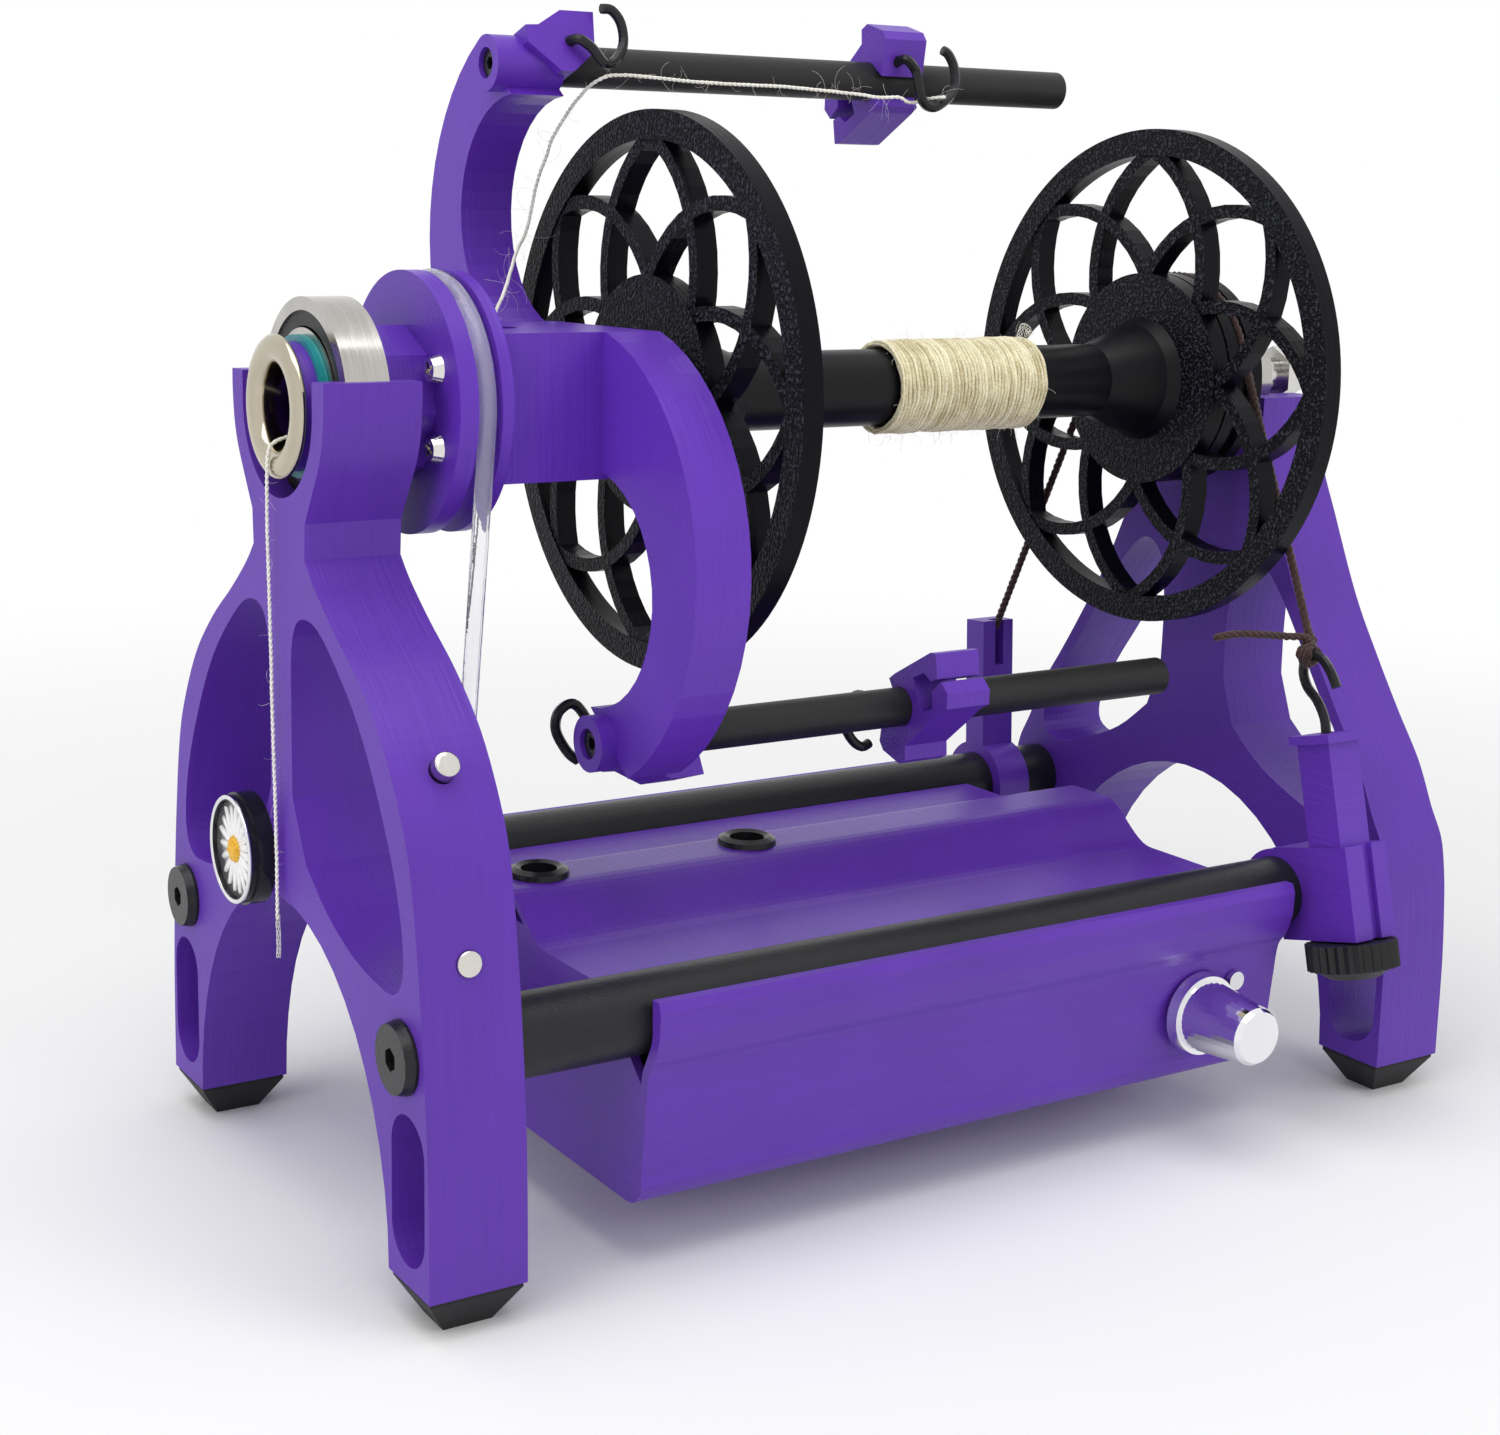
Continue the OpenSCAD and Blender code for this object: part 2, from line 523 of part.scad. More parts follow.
module opposite() for (a = [0, 180]) rotate([a, 0, 0]) children();
module at_rod() translate([0, 0, rod_r]) children();
module along_y(y0, y1) translate([0, y1, 0]) rotate([90, 0, 0]) linear_extrude(y1 - y0) children();
module hook_bore(at) translate([at[0], hook_seat + 0.01, at[1]]) rotate([90, 0, 0])
    cylinder(h = 12, r = hook_wire / 2 + fit);
module flyer_arms() color(purple) place() on_axis() difference() {
    union() {
        opposite() along_x(arm_x0, arm_x1) polygon(arm_profile);
        translate([hub_x, -hub_y, -hub_z]) cube([arm_x1 - hub_x, 2 * hub_y, 2 * hub_z]);
        rotate([-flyer_turn, 0, 0]) opposite() at_rod() {
            bar(boss_x0, arm_x1, boss_r);
            along_y(block_y[0], block_y[1]) polygon(end_block);
        }
    }
    rotate([-flyer_turn, 0, 0]) {
        opposite() at_rod() {
            bar(rod_seat_x, arm_x1 + 10, rod_d / 2 + fit);
            bar(boss_x0 - 1, rod_seat_x + 1, boss_hole_r);
        }
        at_rod() hook_bore(upper_hook_at);
        rotate([180, 0, 0]) at_rod() hook_bore(lower_hook_at);
    }
    bar(hub_x - 1, hub_bore_end, orifice_d / 2 + 1);
    bar(hub_bore_end - 1, arm_x1 + 1, spindle_d / 2 + fit / 2);
    translate([yarn_hole_x, 0, 0]) cylinder(h = hub_z + 1, r = yarn_hole_r);
    for (a = screw_turns) rotate([a, 0, 0]) bar(hub_x - 1, hub_x + 8, screw_r + fit, -screw_pcd_r, 0);
}
yarn_hole_x = 47;
yarn_hole_r = 4.5;
module flyer_rods() color(black) place() flyer_frame() opposite() at_rod()
    bar(rod_seat_x, rod_end, rod_d / 2);
module rod_screws() color(black) place() flyer_frame() opposite() at_rod() difference() {
    union() {
        bar(boss_x0 + 1, boss_x0 + 3.5, boss_hole_r - 0.2);
        bar(boss_x0 + 3, rod_seat_x, 1.5);
    }
    translate([boss_x0, 0, 0]) rotate([0, 90, 0]) cylinder(h = 2.4, r = 1.4, $fn = 6);
}
// wire hooks start with a straight shank along Y, then bend down past the rod and up again
hook_y = -10;
hook_lead = [[0, hook_seat, 0], [0, -6.2, 0], [0, -8, 0]];
upper_hook_bend = [[1, hook_y, -0.6], [3.6, hook_y, -2.4], [6, hook_y, -5.6], [8.6, hook_y, -4.8],
    [11.2, hook_y, -1.2],
    [11.4, hook_y, 3.4], [9.6, hook_y, 6.2], [7.2, hook_y, 6.4]];
lower_hook_bend = [[-0.6, hook_y, -1.4], [-2.4, hook_y, -7.4], [-4.4, hook_y, -11], [-6.4, hook_y, -11.8],
    [-9, hook_y, -10.4], [-10.2, hook_y, -8], [-10, hook_y, -5.4], [-8.2, hook_y, -1.8], [-6.2, hook_y, 0]];
module wire_hook(bend) sweep(concat([hook_lead[0]], spline(concat([hook_lead[1], hook_lead[2]], bend),
    4)), hook_wire / 2, 8);
module fixed_hooks() color(black) place() flyer_frame() {
    translate([upper_hook_at[0], 0, rod_r + upper_hook_at[1]]) wire_hook(upper_hook_bend);
    rotate([180, 0, 0]) translate([lower_hook_at[0], 0, rod_r + lower_hook_at[1]])
        wire_hook(lower_hook_bend);
}
module spindle() color(steel) place() on_axis() bar(hub_bore_end + 1, spindle_end, spindle_d / 2);

// ---------- rear bearing and nut ----------
module rear_bearing_outer() color(steel) place() on_axis()
    ring(rear_seat_x, rear_seat_x + rear_bearing_w, rear_bearing_r, 7.6);
module rear_bearing_inner() color(steel) place() on_axis()
    ring(rear_seat_x, rear_seat_x + rear_bearing_w, 7.6 - side_gap, spindle_d / 2 + fit / 2);
nut_x = end_x + 0.8;
nut_h = 4.4;
nut_cap = 2.4;
module spindle_nut() color(steel) place() on_axis() difference() {
    union() {
        translate([nut_x, 0, 0]) rotate([0, 90, 0]) cylinder(h = nut_h, r = 7, $fn = 6);
        translate([nut_x + nut_h, 0, 0]) rotate([0, 90, 0]) cylinder(h = nut_cap, r1 = 5.2, r2 = 3);
    }
    bar(end_x, spindle_end, spindle_d / 2 + fit / 2);
}

// ---------- sliding hooks ----------
upper_slider_x = 154;                   // front face of each clip
lower_slider_x = 135;
clip_len = 11.5;
clip_bore = rod_d / 2 + fit;
clip_gap = [-112, 158];                 // ends of the C round the rod
// the clip seen along X from the rod's axis: block with the hook, then the lower and upper
// fingers of the yarn eye
clip_outline = concat([[-9.5, 6.4], [-8.8, 8.6], [-3.8, 12.2], [-1.4, 11.8], [-0.6, 8.7], [3, 7.3],
    [8, 5.4], [12.6, 3.4], [16, 2.8], [17.1, -0.3], [15.6, -3.1], [12, -1.6], [11, 2], [6.8, 2.4],
    [6.2, -5.4], [10.2, -6], [12.2, -3.7], [14.5, -3.9], [15.4, -9.3], [13.6, -9.8], [0, -7.3], [-2.3, -6.6]],
    arc_pts([0, 0], clip_bore, clip_gap[0], clip_gap[1], 30), [[-5.8, -0.9]]);
slider_hook_at = [4, 2];
upper_slider_bend = [[0.6, hook_y, -0.6], [2.6, hook_y, -3.2], [2.6, hook_y, -7],
    [3.2, hook_y, -10.4], [5.2, hook_y, -11.6],
    [7.9, hook_y, -10.8], [11.3, hook_y, -8.5], [13.4, hook_y, -5.3], [13.7, hook_y, -1.6],
        [12.7, hook_y, 1.3], [11.2, hook_y, 2.2]];
lower_slider_bend = [[-1, hook_y, -1], [-3.2, hook_y, -3.8], [-6.5, hook_y, -6.2],
    [-9.5, hook_y, -5.6], [-11.8, hook_y, -3.2],
    [-12.3, hook_y, 0], [-11, hook_y, 3.4], [-8.8, hook_y, 5.2], [-6.5, hook_y, 4.6]];
module slider_clip() difference() {
    along_x(0, clip_len) polygon(clip_outline);
    hook_bore(slider_hook_at);
}
module slider_hook(bend) translate([slider_hook_at[0], 0, slider_hook_at[1]]) wire_hook(bend);
module at_upper() place() flyer_frame() at_rod() translate([upper_slider_x, 0, 0]) children();
module at_lower() place() flyer_frame() rotate([180, 0, 0]) at_rod() translate([lower_slider_x, 0, 0])
    children();
module upper_clip() color(purple) at_upper() slider_clip();
module upper_hook() color(black) at_upper() slider_hook(upper_slider_bend);
module lower_clip() color(purple) at_lower() slider_clip();
module lower_hook() color(black) at_lower() slider_hook(lower_slider_bend);

// ---------- bobbin ----------
rim_w = 6;
disc_r = 25;
rib_w = 3;
rib_t = 5;
petals = 8;
core_r = core_d / 2;
bore_r = spindle_d / 2 + 2 * fit;
// a rib runs in one arc from the rim to the hub disc, an eighth of a turn further round
rib_a = [flange_d / 2 - rim_w + 1, 0];
rib_b = 40.5 * [cos(22.5), sin(22.5)];
rib_c = (disc_r - 1) * [cos(45), sin(45)];
function circle_mid(a, b, c) = let (
    d = 2 * (a[0] * (b[1] - c[1]) + b[0] * (c[1] - a[1]) + c[0] * (a[1] - b[1])),
    x = ((a * a) * (b[1] - c[1]) + (b * b) * (c[1] - a[1]) + (c * c) * (a[1] - b[1])) / d,
    y = ((a * a) * (c[0] - b[0]) + (b * b) * (a[0] - c[0]) + (c * c) * (b[0] - a[0])) / d) [x, y];
rib_mid = circle_mid(rib_a, rib_b, rib_c);
rib_r = norm(rib_a - rib_mid);
function bearing_of(p) = atan2(p[1] - rib_mid[1], p[0] - rib_mid[0]);
rib_outline = concat(arc_pts(rib_mid, rib_r + rib_w / 2, bearing_of(rib_a), bearing_of(rib_c), 10),
    arc_pts(rib_mid, rib_r - rib_w / 2, bearing_of(rib_c), bearing_of(rib_a), 10));
module flange(x) difference() {
    union() {
        ring(x, x + flange_t, flange_d / 2, flange_d / 2 - rim_w);
        bar(x, x + flange_t, disc_r);
        for (i = [0:petals - 1], m = [0, 1]) rotate([i * 360 / petals, 0, 0]) mirror([0, m, 0])
            along_x(x + 0.3, x + 0.3 + rib_t) polygon(rib_outline);
    }
    bar(x - 1, x + flange_t + 1, core_r - 1);
}
module bobbin_front_flange() color(black) place() on_axis() flange(flange_x0);
module bobbin_rear_flange() color(black) place() on_axis() flange(flange_x1);
core_x0 = 76;
core_x1 = 236;
module bobbin_core() color(black) place() on_axis() translate([core_x0, 0, 0]) rotate([0, 90, 0])
    rotate_extrude()
    polygon([[bore_r, 0], [core_r - 1, 0], [core_r - 1, flange_x0 - core_x0 + flange_t],
        [14.5, flange_x0 - core_x0 + flange_t], [13, 15], [core_r, 27],
        [core_r, flange_x1 - core_x0 - 16], [13, flange_x1 - core_x0 - 3], [14.5, flange_x1 - core_x0],
        [core_r - 1, flange_x1 - core_x0], [core_r - 1, core_x1 - core_x0], [bore_r, core_x1 - core_x0]]);
brake_r = 25;
brake_cord_r = 1;
cord_arc_r = brake_r - 0.6;             // middle of the cord in the groove
cord_room = brake_cord_r + side_gap;
module brake_pulley() color(black) place() on_axis() difference() {
    ring(flange_x1 + side_gap + rib_t, core_x1, brake_r, core_r - 1);
    groove(brake_x, cord_arc_r, cord_room);
    translate([brake_x, 0, 0]) rotate([0, 90, 0]) rotate_extrude()
        polygon([[cord_arc_r - 0.3, 0.1 - cord_room], [brake_r + 1, -cord_room - 1],
        [brake_r + 1, cord_room + 1],
            [cord_arc_r - 0.3, cord_room - 0.1]]);
}
under_r = 8.7;                          // surface of the yarn below the outer layer
turn_r = under_r + yarn_d;              // middle of a turn
rings_a_turn = 24;
module yarn_core() color(cream) place() on_axis() ring(yarn_x0 - 1, yarn_x1 + 1, under_r, core_r);
turns = [for (i = [0:yarn_turns_count * rings_a_turn]) let (a = 360 * i / rings_a_turn,
    x = mix(yarn_x0, yarn_x1, i / (yarn_turns_count * rings_a_turn)))
        [x, turn_r * cos(a), turn_r * sin(a)]];
turn_ends = [[yarn_x0, under_r, 0], [yarn_x1, under_r, 0]];
winding = concat([turn_ends[0]], turns, [turn_ends[1]]);
least_gap = min([for (i = [0:7:len(turns) - 1 - rings_a_turn], k = [rings_a_turn - 4:rings_a_turn + 4])
    if (i + k < len(turns)) norm(turns[i] - turns[i + k]) - yarn_d]);
echo(least_gap_between_turns = least_gap);
module yarn_turns() color(cream) place() on_axis() sweep(winding, yarn_d / 2, 6);

// ---------- yarn on the flyer, and its lead ----------
thread_r = 0.6;
guide_route = [[yarn_hole_x, 0, 11], [yarn_hole_x, 0, 17], [52, 6, 20.5], [60, 18, 25],
    [67, 28.5, 29], [73.8, 36.5, 34],
    [76, 36, 44], [77, 29, 55], [78.4, 20.6, 62.2], [80.4, 16.6, 65]];
rod_side_route = [[86, -6, 67.6], [104, -6, 66.9], [125, -6, 66.7], [144, -6, 66], [152, -6.4, 65.2],
    [156.5, -7.4, 65],
    [159, -7.4, 63.9], [161.5, -7.4, 64], [163.6, -8.6, 64.3], [165, -10.4, 64], [166.2, -12, 63.6]];
// a point of the flyer's turned frame, in the frame of the whole object
function turned(p) = [p[0], p[1] * cos(flyer_turn) + p[2] * sin(flyer_turn), -p[1] * sin(flyer_turn)
    + p[2] * cos(flyer_turn)];
module yarn_guide() color(cream) place() on_axis()
    sweep(spline(concat(guide_route, [for (p = rod_side_route) turned(p)]), 3), thread_r, 8);
lead_route = [[12, 0, 160], [4, 0, 158.6], [-0.6, 0, 157.2], [-1.8, 0, 155], [-1.9, 0.6, 149],
    [-1.8, 0.8, 136],
    [-1.6, 0.6, 120], [-1.6, 0.2, 104], [-1.5, -0.2, 88], [-1.4, -0.3, 74], [-1.4, -0.3, 62]];
module yarn_lead() color(cream) place() sweep(spline(lead_route, 3), thread_r, 8);
// a flower set in a black disc on the front frame
flower_y = 15;
flower_z = 73;
flower_r = 11.6;
flower_floor = 3.6;                     // floor of the disc's cup
petal_count = 16;
module at_flower() place() translate([0, flower_y, flower_z]) rotate([0, -90, 0]) children();
module flower_disc() color(black) at_flower() difference() {
    union() {
        cylinder(h = flower_floor, r = flower_r);
        cylinder(h = 5.4, r = flower_r - 0.5);
    }
    translate([0, 0, flower_floor]) cylinder(h = 3, r = flower_r - 1.5);
}
module flower_petals() color("white") at_flower() translate([0, 0, flower_floor]) {
    for (i = [0:petal_count - 1]) rotate([0, 0, i * 360 / petal_count]) translate([flower_r * 0.5, 0, 0])
        scale([1, 0.4, 1]) cylinder(h = 1.8, r = flower_r * 0.34, $fn = 24);
    cylinder(h = 2.6, r = flower_r * 0.27);
}

// ---------- brake ----------
// the brake stands in its own frame: X along the tube, Y and Z from the tube's middle, leaning with the tilt
block_x = [218.5, 231.3];
block_u = [1, 22.2];                    // reach of the block to the near side of the tube's middle
block_w = [-11, 10];
strap_r = tube_d / 2 + 1.7;
slot_x = [223.9, 226.7];
slot_depth = 2.2;
post_x = [218.9, 228.1];
post_half = 4.6;
post_low = -1;
post_top = 35;
post_cap = 1.2;                         // how far the post's cap stands out
thumb_screw_r = 2;                            // thumb screw
screw_x = (post_x[0] + post_x[1]) / 2;
knob_r = 10;
knob_top = block_w[0] - 0.5;
knob_h = 6;
screw_top = 12;
module brake_frame() translate([0, -tube_y, tube_z]) rotate([-brake_tilt, 0, 0]) children();
function from_brake(u, w) = [-tube_y - u * cos(brake_tilt) + w * sin(brake_tilt),
    tube_z + u * sin(brake_tilt) + w * cos(brake_tilt)];
module uwbox(x, u, w) translate([x[0], -u[1], w[0]]) cube([x[1] - x[0], u[1] - u[0], w[1] - w[0]]);
function wider(p, a) = [p[0] - a, p[1] + a];
module brake_clamp() color(purple) place() brake_frame() difference() {
    union() {
        uwbox(block_x, block_u, block_w);
        bar(block_x[0], block_x[1], strap_r);
    }
    bar(block_x[0] - 1, block_x[1] + 1, tube_d / 2 + fit);
    uwbox(wider(post_x, side_gap), [post_u - post_half - side_gap, post_u + post_half + side_gap],
        [post_low - 6, 20]);
    translate([screw_x, -post_u, -20]) cylinder(h = 20, r = thumb_screw_r + fit);
    uwbox(slot_x, [block_u[1] - 1.2, block_u[1] + 1], [-20, 20]);
}
module brake_post() color(purple) place() brake_frame() difference() {
    union() {
        uwbox(post_x, [post_u - post_half, post_u + post_half], [post_low, post_top - 1]);
        uwbox(wider(post_x, post_cap), [post_u - post_half - post_cap, post_u + post_half + post_cap],
            [post_top - 2, post_top]);
    }
    translate([screw_x, -post_u, post_low - 1]) cylinder(h = 24, r = thumb_screw_r + fit);
    translate([screw_x, -post_u, post_top - 8]) cylinder(h = 10, r = hook_wire / 2 + fit);
}
brake_hook_route = [[-16, 30], [-16, 35], [-16, 38.5], [-14.5, 42.5], [-12.2, 45.5], [-11.4, 48.8],
    [-12.4, 51.6],
    [-14.8, 52.8], [-17.4, 51.6], [-19.4, 48.6], [-20.6, 45]];
module brake_hook() color(black) place() brake_frame()
    sweep(concat([[screw_x, -16, 27.5]], spline([for (p = brake_hook_route)
        [screw_x, p[0], p[1]]], 3)), hook_wire / 2, 8);
thumb_teeth = 28;
module thumb_knob() color(black) place() brake_frame() translate([screw_x, -post_u, 0]) union() {
    translate([0, 0, knob_top - knob_h]) linear_extrude(knob_h) polygon([for (i = [0:2 * thumb_teeth - 1])
        let (a = 180 * i / thumb_teeth, r = i % 2 == 0 ? knob_r : knob_r - 0.7) r * [cos(a), sin(a)]]);
    translate([0, 0, knob_top - knob_h - 2]) cylinder(h = 2, r1 = 5.5, r2 = knob_r - 1.5);
    translate([0, 0, knob_top - 1]) cylinder(h = screw_top - knob_top + 1, r = thumb_screw_r);
}
anchor_x = [222, 232];
anchor_top = 44;
anchor_tilt = 3;
groove_w = 2.8;
module anchor_frame() translate([0, tube_y, tube_z]) rotate([-anchor_tilt, 0, 0]) children();
module cord_anchor() color(purple) place() anchor_frame() difference() {
    union() {
        translate([anchor_x[0], -3.5, 0]) cube([anchor_x[1] - anchor_x[0], 7, anchor_top]);
        bar(anchor_x[0], anchor_x[1], tube_d / 2 + 3);
    }
    bar(anchor_x[0] - 1, anchor_x[1] + 1, tube_d / 2 + fit);
    translate([anchor_x[0] - 1, -1.4, -30]) cube([20, 2.8, 26]);
    translate([anchor_x[0] + 4, -5, anchor_top - 12]) cube([groove_w, 5, 20]);
}
function from_anchor(y, w) = [tube_y + y * cos(anchor_tilt) + w * sin(anchor_tilt),
    tube_z - y * sin(anchor_tilt) + w * cos(anchor_tilt)];
function polar(p) = atan2(p[1] - axis_z, p[0]);
function reach(p) = norm([p[0], p[1] - axis_z]);
near_end = from_brake(13, 55.4);
cord_x = 225.2;                         // the cord leaves the hook on its rear side
near_start = [cord_x, near_end[0], near_end[1]];
tail_bend = [[-13.6, 5.4, 1], [-9.2, 3.4, 1.4], [-5.2, 1.6, 0.4], [-3, 0.7, -0.8], [-1.6, 0.1, -1.2],
    [-0.5, -0.1, -0.8]];
far_end = from_anchor(-1.9, anchor_top - 2);
near_touch = polar(near_end) - acos(cord_arc_r / reach(near_end)) + 360;
far_touch = polar(far_end) + acos(cord_arc_r / reach(far_end));
function on_cord(a) = [brake_x, cord_arc_r * cos(a), axis_z + cord_arc_r * sin(a)];
function between(a, b, n) = [for (i = [0:n - 1]) mix(a, b, i / n)];
cord_arc = [for (i = [0:14]) on_cord(mix(near_touch, far_touch, i / 14))];
pull = unit(cord_arc[0] - near_start);
knot = [[0.4, 1], [1.1, 1.7], [2, 2], [2.9, 2], [3.8, 1.7], [4.5, 1]];  // way up the cord, radius
straight = 5;                           // points on each straight run
tail_path = spline([for (p = tail_bend) near_start + p], 3);
brake_path = concat(tail_path, [for (k = knot) near_start + k[0] * pull],
    between(near_start + 6 * pull, cord_arc[0], straight), cord_arc,
    reverse(between([anchor_x[0] + 4 + groove_w / 2, far_end[0], far_end[1]], cord_arc[14], straight)));
brake_radii = concat([for (p = tail_path) 0.7 * brake_cord_r], [for (k = knot) k[1] * brake_cord_r],
    [for (i = [1:2 * straight + len(cord_arc)]) brake_cord_r]);
module brake_cord() color("#3a221c") place() sweep(brake_path, brake_radii, 8);

// ---------- the whole spinner ----------
front_frame();
rear_frame();
side_tubes();
tube_plugs();
tube_bolts();
rubber_feet();
holding_magnets();
tray_left();
tray_right();
lid_left();
lid_right();
lid_grommets();
motor();
motor_shaft();
motor_pulley();
motor_screws();
drive_belt();
control_board();
power_jack();
speed_control();
speed_knob();
indicator_lamp();
bearing_outer_ring();
bearing_seals();
bearing_inner_ring();
teal_ring();
orifice_ferrule();
orifice_tube();
shaft_collar();
pulley_cover();
drive_pulley();
pulley_screws();
flyer_arms();
flyer_rods();
rod_screws();
fixed_hooks();
spindle();
rear_bearing_outer();
rear_bearing_inner();
spindle_nut();
upper_clip();
upper_hook();
lower_clip();
lower_hook();
bobbin_core();
bobbin_front_flange();
bobbin_rear_flange();
brake_pulley();
yarn_core();
yarn_turns();
yarn_guide();
yarn_lead();
brake_clamp();
brake_post();
brake_hook();
thumb_knob();
cord_anchor();
brake_cord();
flower_disc();
flower_petals();
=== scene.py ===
import math

import bpy
from mathutils import Matrix, Vector


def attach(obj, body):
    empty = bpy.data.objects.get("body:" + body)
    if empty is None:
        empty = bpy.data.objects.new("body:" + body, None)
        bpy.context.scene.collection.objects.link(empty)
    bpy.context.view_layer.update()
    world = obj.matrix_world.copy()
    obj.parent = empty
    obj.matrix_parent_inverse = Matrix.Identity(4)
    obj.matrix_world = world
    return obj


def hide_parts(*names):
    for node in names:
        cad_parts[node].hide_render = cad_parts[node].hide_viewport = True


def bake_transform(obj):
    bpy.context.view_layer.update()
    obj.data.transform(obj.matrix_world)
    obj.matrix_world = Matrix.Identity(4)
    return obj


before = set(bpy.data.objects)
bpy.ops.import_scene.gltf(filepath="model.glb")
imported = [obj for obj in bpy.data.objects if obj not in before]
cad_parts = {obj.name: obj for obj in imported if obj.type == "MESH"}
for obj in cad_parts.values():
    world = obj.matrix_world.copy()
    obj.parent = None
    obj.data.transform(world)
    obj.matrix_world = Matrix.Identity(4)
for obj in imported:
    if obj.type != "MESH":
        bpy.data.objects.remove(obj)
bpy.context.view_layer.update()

# ---------- The view ----------
# A table-top shot from the front left, on a plain white sheet, with a big soft lamp above
# and two weaker ones at the sides. Nothing in this section is part of the spinner.
camera = bpy.data.objects.new("camera", bpy.data.cameras.new("camera"))
bpy.context.scene.collection.objects.link(camera)
bpy.context.scene.camera = camera
camera.data.sensor_width = 36
camera.data.lens = 54.48
camera.data.shift_x = 0.09
camera.data.shift_y = -0.0493
camera.data.clip_start, camera.data.clip_end = 0.02, 30
eye = Vector((-0.29671, -0.40021, 0.20167))
heading, tilt, roll = (math.radians(angle) for angle in (-30.3935, 79.2291, 0.771))
camera.matrix_world = (Matrix.Translation(eye) @ Matrix.Rotation(heading, 4, "Z")
                       @ Matrix.Rotation(tilt, 4, "X") @ Matrix.Rotation(roll, 4, "Z"))

bpy.context.scene.view_settings.view_transform = "Standard"


class Wire:
    """One socket of a node tree. Sums and products of it add the Math nodes that they need."""

    def __init__(self, board, socket):
        self.board, self.socket = board, socket

    def maths(self, operation, *terms):
        return self.board.node("ShaderNodeMath", {"operation": operation}, dict(enumerate(terms)))

    def __add__(self, other):
        return self.maths("ADD", self, other)

    def __sub__(self, other):
        return self.maths("SUBTRACT", self, other)

    def __rsub__(self, other):
        return self.maths("SUBTRACT", other, self)

    def __mul__(self, other):
        return self.maths("MULTIPLY", self, other)

    def __truediv__(self, other):
        return self.maths("DIVIDE", self, other)

    def __abs__(self):
        return self.maths("ABSOLUTE", self)

    def ramp(self, low, high):
        """0 below low, 1 above high, and a soft step between."""
        return self.board.node("ShaderNodeMapRange", {"interpolation_type": "SMOOTHSTEP"},
                               {0: self, 1: low, 2: high})

    __radd__, __rmul__ = __add__, __mul__


class Board:
    """A node tree being wired: one method adds any node, its settings first and its sockets after."""

    def __init__(self, tree):
        self.tree = tree

    def feed(self, socket, value):
        if isinstance(value, Wire):
            self.tree.links.new(value.socket, socket)
        elif socket.type == "RGBA" and len(value) == 3:
            socket.default_value = (*value, 1)
        else:
            socket.default_value = value

    def node(self, kind, settings=None, inputs=None, out=0):
        made = self.tree.nodes.new(kind)
        for key, value in (settings or {}).items():
            setattr(made, key, value)
        for place, value in (inputs or {}).items():
            self.feed(made.inputs[place], value)
        return Wire(self, made.outputs[out])

    def in_sight(self):
        """1 or more for what the camera sees: straight, mirrored, or through clear plastic."""
        straight, mirrored, through = (self.node("ShaderNodeLightPath", out=ray) for ray in (
            "Is Camera Ray", "Is Glossy Ray", "Is Transmission Ray"))
        return straight + mirrored + through


class Finish(Board):
    """A procedural material, with the values that don't vary set on the shader's own sockets."""

    def __init__(self, name, fixed=None):
        self.material = bpy.data.materials.new(name)
        self.material.use_nodes = True
        super().__init__(self.material.node_tree)
        self.shader = self.tree.nodes["Principled BSDF"]
        self.paint(**(fixed or {}))

    def paint(self, **sockets):
        for name, value in sockets.items():
            self.feed(self.shader.inputs[name.replace("_", " ")], value)

    def place(self, stretch=(1, 1, 1)):
        spot = self.node("ShaderNodeTexCoord", out="Object")
        return self.node("ShaderNodeMapping", {}, {"Vector": spot, "Scale": stretch})

    def grain(self, size, detail=2.0, stretch=(1, 1, 1), rough=0.5):
        """Noise whose blots are about size metres wide, wider along an axis with a small stretch."""
        return self.node("ShaderNodeTexNoise", {}, {"Vector": self.place(stretch), "Scale": 1 / size,
                                                    "Detail": detail, "Roughness": rough})

    def facing(self, axis):
        """1 on the faces that look along an axis of the object, either way."""
        normal = self.node("ShaderNodeTexCoord", out="Normal")
        return abs(self.node("ShaderNodeSeparateXYZ", {}, {0: normal}, out=axis)).ramp(0.9, 0.97)

    def mix(self, factor, first, second):
        return self.node("ShaderNodeMix", {"data_type": "RGBA"}, {0: factor, 6: first, 7: second}, out=2)

    def bump(self, height, depth):
        self.paint(Normal=self.node("ShaderNodeBump", {}, {"Height": height, "Distance": depth,
                                                          "Strength": 1.0}))


def shade(colour, by):
    """A colour made lighter or darker."""
    return tuple(min(1.0, channel * by) for channel in colour)


floor_r = 9.0
floor_mesh = bpy.data.meshes.new("floor")
floor_mesh.from_pydata([(-floor_r, -floor_r, 0), (floor_r, -floor_r, 0), (floor_r, floor_r, 0),
                        (-floor_r, floor_r, 0)], [], [(0, 1, 2, 3)])
floor = bpy.data.objects.new("floor", floor_mesh)
bpy.context.scene.collection.objects.link(floor)
sheet = Finish("white_sheet", {"Roughness": 0.85, "Specular IOR Level": 0.1})
sheet.paint(Base_Color=sheet.mix(sheet.grain(0.3), (0.90, 0.90, 0.90), (0.93, 0.93, 0.93)))
shadow_r, white_r = 0.16, 0.75
reach = sheet.node("ShaderNodeVectorMath", {"operation": "LENGTH"}, {0: sheet.place()}, out="Value")
glow = sheet.node("ShaderNodeEmission", {}, {"Color": (1, 1, 1), "Strength": 1.0})
whiter = reach.ramp(shadow_r, white_r) * sheet.in_sight()
sheet.feed(sheet.tree.nodes["Material Output"].inputs[0], sheet.node(
    "ShaderNodeMixShader", {}, {0: whiter, 1: Wire(sheet, sheet.shader.outputs[0]), 2: glow}))
floor_mesh.materials.append(sheet.material)

